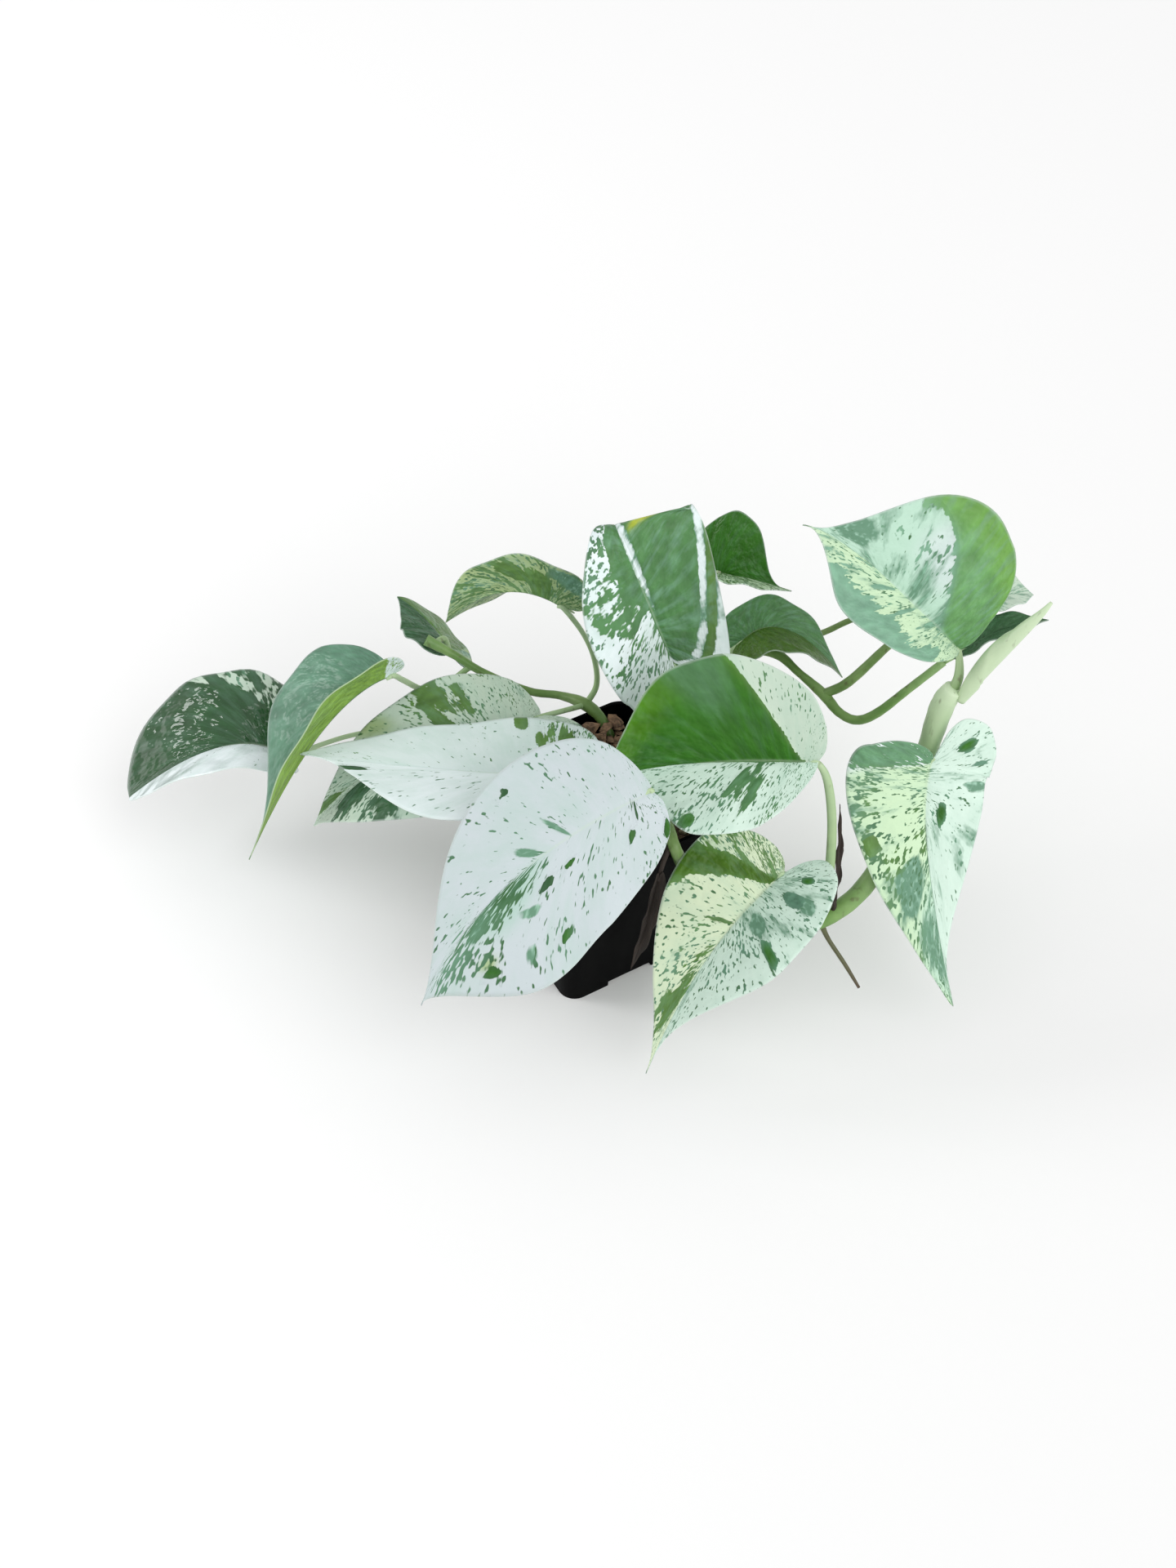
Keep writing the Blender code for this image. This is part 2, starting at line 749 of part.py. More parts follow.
SHEATHS = {
    "dried_sheath_front": {
        "stem": "stem_front",
        "base": (28, -43, 89),
        "crown": (23.5, -43, 57),
        "tip": (17, -43, 23),
        "facing": (0.3, -1, 0.2),
        "left": (4.5, 35, 30, 1, 0, 1),
        "right": (4, 25, 30, 1, 0, 1),
        "stalk": ((34, -34, 105, 1.3), (30.5, -40, 99, 1.1)),
    },
    "dried_sheath_right": {
        "stem": "stem_front",
        "base": (107.5, -42, 74),
        "crown": (107.8, -39, 100),
        "tip": (106, -31.5, 127),
        "facing": (0.6, -1, 0.2),
        "left": (1.7, 0, 0, 1, 0, 1),
        "right": (1.7, 0, 0, 1, 0, 1),
        "stalk": ((106.5, -38, 57, 1.1), (108.5, -40, 66, 1.0)),
    },
}


def make_stems(parts, cutters, surface):
    """Each stem as one body. What sits on a stem is cut by a slightly wider copy of it."""
    clearances = {}
    for name, routes in STEMS.items():
        pieces = [tube(name, route, parts, STEM_SIDES) for route in routes]
        finish(joined(name, pieces, parts), parts, surface, 60.0)
        wider = [tube(name, route, cutters, STEM_SIDES, SEAT_GAP) for route in routes]
        clearances[name] = as_cutter(joined(name + "_clearance", wider, cutters))
    return clearances


def main():
    clear_scene()
    parts = new_collection("potted_marble_queen_pothos")
    cutters = new_collection("cutters")
    plastic = material("pot_plastic", (0.012, 0.012, 0.014), 0.45)
    earth = material("soil", (0.055, 0.032, 0.018), 0.95)
    green_bark = material("stem", (0.16, 0.28, 0.06), 0.5)
    tan = material("dried_sheath", (0.42, 0.27, 0.12), 0.8)
    leaf_surfaces = {
        "white": material("leaf_white", (0.66, 0.76, 0.6), 0.38),
        "marbled": material("leaf_marbled", (0.36, 0.5, 0.24), 0.36),
        "green": material("leaf_green", (0.09, 0.2, 0.05), 0.34),
    }
    make_pot(parts, cutters, plastic)
    clearances = make_stems(parts, cutters, green_bark)
    for name, leaf in LEAVES.items():
        surface = leaf_surfaces[leaf["look"]]
        make_leaf(name, leaf, parts, surface, clearances[leaf["stem"]])
    for name, sheath in SHEATHS.items():
        make_leaf(name, sheath, parts, tan, clearances[sheath["stem"]])
    furled = clearances["stem_front"]
    make_furled_leaf("leaf_furled_new", FURLED_LEAF, parts, leaf_surfaces["marbled"], furled)
    make_soil(parts, earth, clearances.values())


main()
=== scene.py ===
# %% Load the frame
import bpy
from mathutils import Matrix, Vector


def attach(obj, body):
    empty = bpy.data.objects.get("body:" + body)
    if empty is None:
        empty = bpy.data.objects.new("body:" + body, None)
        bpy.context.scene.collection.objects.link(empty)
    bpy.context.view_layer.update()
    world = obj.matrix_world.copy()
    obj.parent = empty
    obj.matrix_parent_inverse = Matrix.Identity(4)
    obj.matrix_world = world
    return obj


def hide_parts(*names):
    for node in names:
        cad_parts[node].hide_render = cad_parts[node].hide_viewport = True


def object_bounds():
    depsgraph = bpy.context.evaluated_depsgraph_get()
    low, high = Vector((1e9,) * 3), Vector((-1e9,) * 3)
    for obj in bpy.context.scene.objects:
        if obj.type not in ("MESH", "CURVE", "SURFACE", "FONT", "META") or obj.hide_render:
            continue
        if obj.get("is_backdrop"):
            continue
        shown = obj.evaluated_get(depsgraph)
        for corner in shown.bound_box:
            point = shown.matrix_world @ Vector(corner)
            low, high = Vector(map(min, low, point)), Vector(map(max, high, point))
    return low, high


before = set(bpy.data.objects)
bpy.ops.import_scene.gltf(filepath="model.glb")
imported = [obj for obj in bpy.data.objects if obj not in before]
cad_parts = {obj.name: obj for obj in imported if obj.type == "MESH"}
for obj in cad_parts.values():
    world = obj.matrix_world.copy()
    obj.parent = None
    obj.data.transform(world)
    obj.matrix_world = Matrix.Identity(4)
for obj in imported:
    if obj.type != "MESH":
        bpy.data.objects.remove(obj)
box_at_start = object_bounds()
print("solids:", len(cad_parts))

# %% [markdown]
# # A potted marble queen pothos
# The solids already give the pot and every leaf and stem its place and its bend. This lesson lays a
# finer piece over each of them and paints it. Thin waxy sheets, round stems and coarse bark each have
# a short recipe of their own.

# %% Modules and units
import math
import random
import bmesh
import bpy
from mathutils import Euler, Matrix, Vector, noise

MM = 0.001
print("quick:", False)

# %% [markdown]
# ## Turning a bmesh into a piece
# Every piece is made in one way: the mesh becomes an object at the origin, takes its material, rides
# on the body, and hides the solids that it stands for.


# %% The piece maker
def placed(name, data):
    """A new object of the scene for a mesh, a lamp or a camera."""
    obj = bpy.data.objects.new(name, data)
    bpy.context.scene.collection.objects.link(obj)
    return obj


def as_mesh(name, bm):
    mesh = bpy.data.meshes.new(name)
    bm.to_mesh(mesh)
    bm.free()
    return mesh


def piece(name, bm, surface, stands_for):
    bmesh.ops.recalc_face_normals(bm, faces=bm.faces)
    mesh = as_mesh(name, bm)
    mesh.shade_smooth()
    mesh.materials.append(surface)
    obj = placed(name, mesh)
    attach(obj, "root")
    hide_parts(*stands_for)
    return obj


def picked(items, kind):
    """The vertices, the edges or the faces among what a bmesh operator gives back."""
    return [item for item in items if isinstance(item, kind)]


# %% [markdown]
# ## Small words for materials
# Each of these helpers adds one node or a short group, and works out from a socket which tree it is
# in. A noise between 0 and 1 is the start of every look: it is ramped to a share, and the share mixes
# two colours.


# %% Node helpers
def feed(target, value):
    """Links a socket to an input, or sets the input to a number, a colour or a vector."""
    if isinstance(value, bpy.types.NodeSocket):
        target.id_data.links.new(value, target)
    else:
        target.default_value = (*value, 1.0) if target.type == "RGBA" else value


def new_surface(name, roughness):
    """A new material, its node tree and its shader."""
    made = bpy.data.materials.new(name)
    made.use_nodes = True
    shader = made.node_tree.nodes["Principled BSDF"]
    feed(shader.inputs["Roughness"], roughness)
    return made, made.node_tree, shader


def add(tree, kind, values=(), **settings):
    made = tree.nodes.new("ShaderNode" + kind)
    for name, value in settings.items():
        setattr(made, name, value)
    for place, value in dict(values).items():
        feed(made.inputs[place], value)
    return made


def mixed(share, first, second):
    """A colour between first and second. Each is a colour or a socket, and share is a socket."""
    return add(share.id_data, "Mix", {0: share, 6: first, 7: second}, data_type="RGBA").outputs[2]


def grain(source, stretch, detail=3.0, rough=0.6, shift=(0.0, 0.0, 0.0)):
    """Noise over a vector socket, stretched by a different amount along each of its axes."""
    tree = source.id_data
    laid = add(tree, "Mapping", {"Vector": source, "Scale": stretch, "Location": shift}).outputs[0]
    numbers = {"Vector": laid, "Scale": 1.0, "Detail": detail, "Roughness": rough}
    return add(tree, "TexNoise", numbers).outputs["Fac"]


def maths(operation, first, second, clamp=False):
    """One sum with two inputs: first is a socket, and second is a number or a socket."""
    values = {0: first, 1: second}
    return add(first.id_data, "Math", values, operation=operation, use_clamp=clamp).outputs[0]


def scaled(source, by):
    return maths("MULTIPLY", source, by)


def blended(first, second, share):
    """Two noises as one, with this share of the second."""
    return maths("ADD", scaled(first, 1 - share), scaled(second, share))


def ramped(source, gain, start, clamp=True):
    """source * gain + start, held between 0 and 1 while clamp is on."""
    values = {0: source, 1: gain, 2: start}
    return add(source.id_data, "Math", values, operation="MULTIPLY_ADD", use_clamp=clamp).outputs[0]


def coat(shader, colour, height, strength, reach):
    """Gives the surface its colour, and bumps it by a height socket."""
    bump = add(height.id_data, "Bump", {"Height": height, "Strength": strength, "Distance": reach})
    feed(shader.inputs["Base Color"], colour)
    feed(shader.inputs["Normal"], bump.outputs[0])


def two_toned(name, roughness, tones, numbers, ramp, bump, attribute=None):
    """A surface whose noise mixes two tones and bumps it too."""
    made, tree, shader = new_surface(name, roughness)
    if attribute:
        spot = add(tree, "Attribute", attribute_name=attribute).outputs["Vector"]
    else:
        spot = add(tree, "TexCoord").outputs["Object"]
    pattern = grain(spot, *numbers)
    coat(shader, mixed(ramped(pattern, *ramp), *tones), pattern, *bump)
    return made


# %% [markdown]
# ## The marbled leaf material
# Marble queen leaves are white where the cells have lost their green. The green that is left runs in
# dashes along the side veins, and whole sectors can be green. So the material works in the leaf's own
# coordinates: across the half, and along the rows that follow the side veins. Noise stretched along
# those rows gives patches, and finer noise gives flecks. Three painted shares (dark, mint, flecks)
# say how much of each a place has, and two painted colours say which pale and which green.


# %% Leaf colours
MINT = (0.34, 0.56, 0.43)
GREY_GREEN = (0.14, 0.29, 0.19)
FLECK_GREEN = (0.055, 0.15, 0.055)
STREAK_GREEN = (0.24, 0.44, 0.33)
RIB_PALE = (0.56, 0.7, 0.52)
MARGIN_PALE = (0.74, 0.84, 0.78)
# How much light the green keeps in the painted shade of the quilting's hollows, and how far that painted
# shade reaches
LEAST_GREEN = 0.66
PILLOW_SHADE_DEPTH = 0.42
HAZE = 0.34
FAINT_STREAKS = 0.1
MILKY_STREAKS = 0.45
RIB_STRENGTH = 0.28
MARGIN_STRENGTH = 0.35
FULL_SHARE = 0.74
SOFT_MASK = 8.0
CRISP_MASK = 24.0
DRY_ROUGHNESS = 0.4
# Dry, and where it's wet
WETTING = {"Roughness": (DRY_ROUGHNESS, 0.12), "Specular IOR Level": (0.24, 0.54)}
POOL_DEPTH = 15.0
QUILT_DEPTH = 14.0
LEAF_BUMP = (0.25, 0.0012)

# Each noise: how fine it is across a half, along the rows and from leaf to leaf, then its detail,
# its roughness and where it starts
LEAF_NOISES = {
    "dashes": ((2.2, 40.0, 3.1), 3.0, 0.6),
    "specks": ((11.0, 90.0, 3.1), 1.0, 0.5, (3.0, 5.0, 0.0)),
    "clouds": ((1.6, 12.0, 3.1), 4.0, 0.6, (9.0, 2.0, 4.0)),
    "small": ((12.0, 130.0, 5.3), 1.0, 0.5, (1.0, 7.0, 2.0)),
    "coarse": ((3.0, 16.0, 5.3), 1.0, 0.5, (4.0, 1.0, 2.0)),
    "quilts": ((6.0, 30.0, 2.2), 2.0, 0.45, (2.0, 2.0, 6.0)),
}
DIMPLES = ((230.0, 230.0, 230.0), 2.0, 0.5)
POOLS = ((62.0, 62.0, 62.0), 1.4, 0.4)

# The share of the second noise where two are blended
BLENDS = {"haze": 0.4, "veils": 0.5, "flecks": 0.28, "pillow_shade": 0.4, "patches": 0.2}

# How a value is stretched to a share: the gain and the start
RAMPS = {
    "haze": (4.0, -1.75),
    "veils": (4.0, -2.1),
    "fleck greens": (5.0, -2.4),
    "grey flecks": (3.0, -1.1),
    "streaks": (5.0, -2.3),
    "pillow_shade": (2.6, -0.8),
    "midrib": (-42.0, 1.0),
    "margin": (50.0, -48.8),
}


# %% The leaf material
def masked(pattern, share, sharpness):
    """1 where the pattern stands above what the share leaves out, with soft edges."""
    raised = ramped(share, 0.5, -FULL_SHARE, clamp=False)
    return ramped(maths("ADD", raised, pattern), sharpness, 0.5)


def darker(colour, keep):
    """The same colour with only part of its light kept. Keep is a socket."""
    return add(keep.id_data, "HueSaturation", {"Value": keep, "Color": colour}).outputs[0]


def pale_parts(noises, pale, green, shares):
    """The pale sheet with its haze, its mint veils and its flecks."""
    clouds, dashes = noises["clouds"], noises["dashes"]
    mist = ramped(blended(clouds, dashes, BLENDS["haze"]), *RAMPS["haze"])
    hazy = mixed(scaled(mist, HAZE), pale, MINT)
    veil = mixed(ramped(noises["specks"], *RAMPS["veils"]), GREY_GREEN, MINT)
    veils = masked(blended(clouds, dashes, BLENDS["veils"]), shares[1], SOFT_MASK)
    veiled = mixed(veils, hazy, veil)
    fleck = mixed(ramped(noises["coarse"], *RAMPS["fleck greens"]), FLECK_GREEN, green)
    fleck = mixed(ramped(clouds, *RAMPS["grey flecks"]), fleck, GREY_GREEN)
    grains = blended(noises["small"], noises["coarse"], BLENDS["flecks"])
    return mixed(masked(grains, shares[2], CRISP_MASK), veiled, fleck)


def green_parts(noises, green, shares):
    """The green sheet, darkened by painted shade where its quilted relief sinks, and streaked paler along
    its veins.
    """
    milky = maths("ADD", scaled(shares[1], MILKY_STREAKS), FAINT_STREAKS)
    dashes = ramped(noises["dashes"], *RAMPS["streaks"])
    streaked = mixed(maths("MULTIPLY", dashes, milky, clamp=True), green, STREAK_GREEN)
    # Painted shade: the quilt noise that raises the pillows keeps the green lighter on them and darker in
    # the hollows between
    pillow_shade = blended(noises["quilts"], noises["clouds"], BLENDS["pillow_shade"])
    light = scaled(ramped(pillow_shade, *RAMPS["pillow_shade"]), PILLOW_SHADE_DEPTH)
    return darker(streaked, maths("ADD", light, LEAST_GREEN))


def trimmed(colour, off_rib):
    """The colour with a paler midrib and a paler margin."""
    rib = scaled(ramped(off_rib, *RAMPS["midrib"]), RIB_STRENGTH)
    margin = scaled(ramped(off_rib, *RAMPS["margin"]), MARGIN_STRENGTH)
    return mixed(margin, mixed(rib, colour, RIB_PALE), MARGIN_PALE)


def leaf_height(quilts, dark, wet):
    """The height of the leaf's skin: fine dimples, pools where it's wet and pillows where it's green."""
    spot = add(wet.id_data, "TexCoord").outputs["Object"]
    pools = scaled(grain(spot, *POOLS), scaled(wet, POOL_DEPTH))
    greenness = maths("MINIMUM", dark, 1.0)
    pillows = scaled(quilts, scaled(greenness, QUILT_DEPTH))
    return maths("ADD", grain(spot, *DIMPLES), maths("ADD", pools, pillows))


def leaf_surface():
    made, tree, shader = new_surface("marbled_leaf", DRY_ROUGHNESS)
    names = ("leafpos", "pale", "green", "paint")
    place, pale, green, paint = (add(tree, "Attribute", attribute_name=name) for name in names)
    place, pale, green = place.outputs["Vector"], pale.outputs["Color"], green.outputs["Color"]
    wet = paint.outputs["Alpha"]
    shares = add(tree, "SeparateColor", {0: paint.outputs["Color"]}).outputs
    noises = {name: grain(place, *numbers) for name, numbers in LEAF_NOISES.items()}
    pattern = blended(noises["dashes"], noises["specks"], BLENDS["patches"])
    patches = masked(pattern, shares[0], CRISP_MASK)
    light = pale_parts(noises, pale, green, shares)
    painted = mixed(patches, light, green_parts(noises, green, shares))
    off_rib = maths("ABSOLUTE", add(tree, "SeparateXYZ", {0: place}).outputs[0], 0.0)
    for socket, (dry, soaked) in WETTING.items():
        feed(shader.inputs[socket], ramped(wet, soaked - dry, dry))
    height = leaf_height(noises["quilts"], shares[0], wet)
    coat(shader, trimmed(painted, off_rib), height, *LEAF_BUMP)
    return made


marbled_leaf = leaf_surface()
print("leaf nodes:", len(marbled_leaf.node_tree.nodes))

# %% [markdown]
# ## Smooth lines
# Stalks, stems and the leaf's outline are all given by a few points. A Catmull-Rom curve runs
# through every one of its points, so each number is a place that the plant really passes.


# %% The curve through points
def spline_point(points, share):
    place = min(max(share, 0.0), 1.0) * (len(points) - 1)
    i = min(int(place), len(points) - 2)
    f = place - i
    before = points[i - 1] if i else points[0] * 2 - points[1]
    after = points[i + 2] if i + 2 < len(points) else points[-1] * 2 - points[-2]
    start, end = points[i], points[i + 1]
    return (
        start * 2
        + (end - before) * f
        + (before * 2 - start * 5 + end * 4 - after) * f**2
        + (start * 3 - before - end * 3 + after) * f**3
    ) * 0.5


# %% [markdown]
# ## The form of a blade
# A blade is a flat grid bent by a formula. Its rows follow the side veins from the midrib to the
# edge, and its columns run from the stalk to the tip. Each half has its own width, fold and curl,
# which is how one recipe gives flat, cupped and folded leaves.


# %% The blade's form
TIP_OUTLINE = ((0.75, 0.62), (0.9, 0.24), (0.96, 0.08), (1, 0))
HEART_OUTLINE = (
    (0, 0), (-0.07, 0.12), (-0.1, 0.36), (-0.05, 0.68), (0.11, 0.93), (0.32, 1), (0.54, 0.91), *TIP_OUTLINE
)
ROUND_OUTLINE = (
    (0, 0), (0, 0.16), (0.03, 0.42), (0.09, 0.7), (0.2, 0.91), (0.36, 1), (0.56, 0.91), *TIP_OUTLINE
)
VEIN_SWEEP = 2.4
SLIM_FROM = 0.4
SLIM_OVER = 0.3
STRAIGHT = 0.00001
FOLD_FADE = 5
WAVE_HEIGHT = 1.0
WAVE_COUNT = 3.0
WAVE_START = {1: 1.0, -1: 2.6}


def half_of(table, side):
    """What a leaf's table says of the half that a side from -1 (right) to 1 (left) lies in."""
    return table["left" if side > 0 else "right"]


def outline_point(outline, share):
    """A half's outline, from the notch at the stalk (0) round its base to the tip (1)."""
    return spline_point([Vector(point) for point in outline], share)


def half_section(width, fold, curl, across):
    """How far sideways and how high a half reaches at this share of its width."""
    start = math.radians(fold)
    bend = math.radians(curl)
    if abs(bend) < STRAIGHT:
        return width * across * math.cos(start), width * across * math.sin(start)
    end = start + bend * across
    return (
        width * (math.sin(end) - math.sin(start)) / bend,
        width * (math.cos(start) - math.cos(end)) / bend,
    )


def midrib_frame(leaf, along):
    """The midrib's point and its forward, up and left directions at a share of the length.

    The leaf's facing holds at the crown, and is carried from there along the bend."""
    base, crown, tip = (Vector(leaf[part]) for part in ("base", "crown", "tip"))
    control = crown * 2 - (base + tip) / 2
    held = min(max(along, 0.0), 1.0)
    place = base * (1 - held) ** 2 + control * 2 * held * (1 - held) + tip * held**2
    slope = (control - base) * (1 - held) + (tip - control) * held
    if along < 0.0:
        place += slope * 2 * along
    forward = slope.normalized()
    chord = (tip - base).normalized()
    facing = Vector(leaf["facing"])
    up = chord.rotation_difference(forward) @ (facing - chord * facing.dot(chord)).normalized()
    return place, forward, up, up.cross(forward)


def edge_point(half, row):
    """The half's edge at this row: its share of the length, and of the half width.

    A lobe of 0 gives the round outline, 1 the heart's, and more a deeper notch at the stalk."""
    _, _, _, lobe, belly, slim = half
    plain = outline_point(ROUND_OUTLINE, row)
    along, across = plain + (outline_point(HEART_OUTLINE, row) - plain) * lobe
    if along > 0:
        along += belly * 4 * along * (1 - along)
    slimming = min(max((row - SLIM_FROM) / SLIM_OVER, 0.0), 1.0)
    return along, max(across, 0.0) ** (1 + (slim - 1) * slimming)


def blade_point(leaf, side, row, lift=0.0):
    """A point of the blade: side runs from -1 (right edge) to 1 (left edge), row from 0 to 1."""
    sign = 1 if side > 0 else -1
    half = half_of(leaf, side)
    width, fold, curl, _, _, _ = half
    edge_along, edge_across = edge_point(half, row)
    across = abs(side)
    stem_along = row**VEIN_SWEEP
    along = stem_along + (edge_along - stem_along) * across
    open_up = 1 - row**FOLD_FADE
    sideways, height = half_section(width, fold * open_up, curl * open_up, edge_across * across)
    turn = 2 * math.pi * WAVE_COUNT * edge_along + WAVE_START[sign]
    ripple = WAVE_HEIGHT * across**2 * edge_across * math.sin(turn)
    place, _, up, left = midrib_frame(leaf, along)
    return place + left * sign * sideways + up * (height + ripple + lift)


# %% [markdown]
# ## Veins and quilting
# Held to the light, a leaf is a row of soft pillows between its side veins, with a groove down the
# middle. Both are small moves of the sheet along its own facing. The green parts grow fatter
# pillows than the white ones.


# %% Relief of a blade
VEINS_PER_HALF = 8
RIB_GROOVE = 0.55
RIB_WIDTH = 1.6
PILLOW = 0.16
GREEN_PILLOW = 0.42
PILLOW_RISE = 4
PILLOW_ROUNDNESS = 0.6
# How late the relief fades away: a higher power holds it longer
GROOVE_HOLD = 8
TIP_HOLD = 3
EDGE_HOLD = 4


def relief_height(side, row, width, greenness):
    """How far the sheet stands off its smooth form, in millimetres."""
    off_rib = abs(side) * width / RIB_WIDTH
    groove = -RIB_GROOVE * math.exp(-(off_rib**2)) * (1 - row**GROOVE_HOLD)
    vein = abs(math.sin(math.pi * VEINS_PER_HALF * row)) ** PILLOW_ROUNDNESS
    fade = min(1.0, abs(side) * PILLOW_RISE) * (1 - abs(side) ** EDGE_HOLD) * (1 - row**TIP_HOLD)
    return groove + (PILLOW + (GREEN_PILLOW - PILLOW) * greenness) * vein * fade


# %% [markdown]
# ## Where each leaf grows
# Base, crown and tip are places on the midrib, in millimetres from the middle of the pot's underside,
# and facing is the way the crown looks. Left and right give each half its width, fold, curl, lobe,
# belly and slimness. The stalk's places also have a radius. The leaves are the same ones as the
# solids.


# %% The leaves
LEAVES = {
    "leaf_far_left": dict(
        look="marbled", base=(-149, 55, 64), crown=(-180, 49, 77), tip=(-230, 52, 37),
        facing=(0, 0, 1), left=(24, 22, -12, 0.15, -0.1, 0.5), right=(39, 32, -18, 1.4, 0.3, 2.3),
        stalk=((-52, 67, 109, 1.3), (-68, 69, 86, 1.3), (-95, 69, 71, 1.3), (-122, 64, 68, 1.2)),
    ),
    "leaf_folded_left": dict(
        look="marbled", base=(-91, 39, 136), crown=(-124, 18, 120), tip=(-161, -7, 60),
        facing=(-0.7, 0.1, 0.7), left=(15, 58, -15, 0.7, -0.05, 1.1),
        right=(37, 37, -15, 0.05, 0.08, 3.2),
        stalk=((-58, 69, 112, 1.5), (-70, 66, 103, 1.5), (-80, 59, 106, 1.4), (-88, 49, 122, 1.4)),
    ),
    "leaf_small_back": dict(
        look="marbled", base=(-13, 59, 158), crown=(-41, 64, 164), tip=(-69, 71, 138),
        facing=(0, 0.77, 0.64), left=(19, 50, 0, 1, 0, 1), right=(22, 10, 0, 1, 0, 1),
        stalk=((-4, 50, 105, 1.5), (1, 56, 112, 1.4), (0, 59, 126, 1.3), (-5, 59, 142, 1.2)),
    ),
    "leaf_back_left": dict(
        look="green", base=(-69, 79, 111), crown=(-79, 96, 114), tip=(-95, 107, 121),
        facing=(0.2, 0.1, 1), left=(24, 20, 0, 1, 0, 1), right=(26, -40, 0, 1, 0, 1),
        stalk=((-76, 73, 122, 1.3), (-71, 80, 119, 1.4)),
    ),
    "leaf_low_left": dict(
        look="white", base=(-25, 38, 110), crown=(-88, 15, 106), tip=(-131, 6, 69),
        facing=(0, 0, 1), left=(42, 6, -20, 1, -0.1, 1), right=(30, 25, -10, 0, -0.11, 1),
        stalk=((-4, 50, 105, 1.4), (-12, 44, 108, 1.3)),
    ),
    "leaf_white_left": dict(
        look="white", base=(5, -4, 114), crown=(-67, -3, 118), tip=(-133, 9.5, 114.5),
        facing=(0, 0.05, 1), left=(37, 12, -5, 0, 0.03, 2.4), right=(28, 23, -5, 0, -0.19, 0.7),
        stalk=((11, 3, 103, 2.0), (12, 0, 109, 1.8), (10, -3, 113, 1.6)),
    ),
    "leaf_white_front": dict(
        look="white", base=(24, -44, 149), crown=(-37, -71, 120), tip=(-76, -90, 60),
        facing=(0, -0.6, 0.8), left=(45, -5, -15, 0.25, 0.23, 3.5), right=(41, -5, -15, 0, -0.1, 1.6),
        stalk=((13, 1, 99, 2.2), (16, -14, 104, 2.0), (18, -38, 113, 1.9), (20, -49, 131, 1.8)),
    ),
    "leaf_green_centre": dict(
        look="marbled", base=(95, -26, 148), crown=(40, -17, 137), tip=(-2, -23, 130),
        facing=(0, 0, 1), left=(41, 3, -10, 0, 0, 2.4), right=(47, 67, -15, 0.45, 0, 1.8),
        stalk=((103, -41, 60, 2.6), (104, -41, 86, 2.3), (103, -36, 118, 2.1), (100, -29, 138, 1.9)),
    ),
    "leaf_arched_back": dict(
        look="marbled", base=(36, 34, 146), crown=(9, 46, 216), tip=(20, 80, 150),
        facing=(0, 0, 1), left=(33, 10, -10, 1.35, -0.2, 4), right=(36, 10, -10, 1, 0, 1),
        stalk=((14, 9, 107, 2.0), (22, 18, 120, 1.8), (32, 30, 138, 1.6)),
    ),
    "leaf_back_cup": dict(
        look="green", base=(54, 73, 166), crown=(64, 70, 168), tip=(89, 65, 163),
        facing=(0, 0, 1), left=(29, 74, -20, 0, 0.07, 3.5), right=(16, 30, 0, 1, 0, 1),
        stalk=((56, 66, 114, 1.4), (51, 73, 130, 1.3), (52, 75, 150, 1.2)),
    ),
    "leaf_back_dark": dict(
        look="green", base=(67, 67, 128), crown=(89, 71, 134), tip=(118, 69, 104),
        facing=(0, 0, 1), left=(15, 35, -10, 1, 0, 1), right=(20, 15, -10, 1, 0, 1),
        stalk=((52, 62, 113, 1.3), (58, 63, 120, 1.2)),
    ),
    "leaf_upper_right": dict(
        look="marbled", base=(158, 20, 170), crown=(114, 32, 211), tip=(86, 31, 231),
        facing=(0, -0.7, 0.7), left=(29, 35, -10, 0, 0.05, 3.5), right=(51, 17, -15, 0.15, -0.13, 3),
        stalk=((154, 8, 152, 2.6), (158, 12, 161, 2.2)),
    ),
    "leaf_lower_right": dict(
        look="white", base=(149, -7, 129), crown=(149, -24, 92), tip=(166, -62, 20),
        facing=(0, -0.75, 0.65), left=(27, 3, -15, 4.3, 0.07, 3.5),
        right=(39, 20, -15, 1.25, -0.22, 0.75),
        stalk=((143, -8, 108, 2.2), (149, -4, 119, 1.8)),
    ),
    "leaf_lower_centre": dict(
        look="white", base=(83, -45, 96), crown=(50, -70, 68), tip=(23, -99, 20),
        facing=(0, -0.65, 0.75), left=(34, 45, -15, 1.7, -0.05, 2.5),
        right=(37, 8, -15, 0.6, -0.16, 1.4),
        stalk=((88, -36, 50, 2.0), (94, -37, 64, 1.8), (90, -41, 83, 1.6)),
    ),
    "leaf_far_right_dark": dict(
        look="green", base=(168, 53, 137), crown=(186, 58, 146), tip=(208, 64, 146),
        facing=(0, 0.2, 1), left=(10, 20, 0, 1, 0, 1), right=(10, 20, 0, 1, 0, 1),
        stalk=((160, 50, 133, 1.3),),
    ),
    "leaf_far_right_pale": dict(
        look="white", base=(172, 78, 143), crown=(188, 78, 149), tip=(204, 82, 145),
        facing=(0, 0, 1), left=(14, 30, 0, 1, 0, 1), right=(12, 10, 0, 1, 0, 1),
        stalk=((150, 80, 138, 1.2), (162, 79, 141, 1.1)),
    ),
}

# %% [markdown]
# ## What each leaf is painted
# Each half has its shares (dark, mint, flecks), its pale and its green. A change adds to the shares,
# and can pull the pale or the green to another colour. Marks make one change round some places: (the
# change, then the side, the row, the reach across and the reach along of each). A sector changes all
# that lies between the stalk and a line across one half, as where a whole wedge of a leaf is green or
# white: (1 for the left half or -1 for the right, the line's row at the rib and at the edge, how it
# bends, the change).


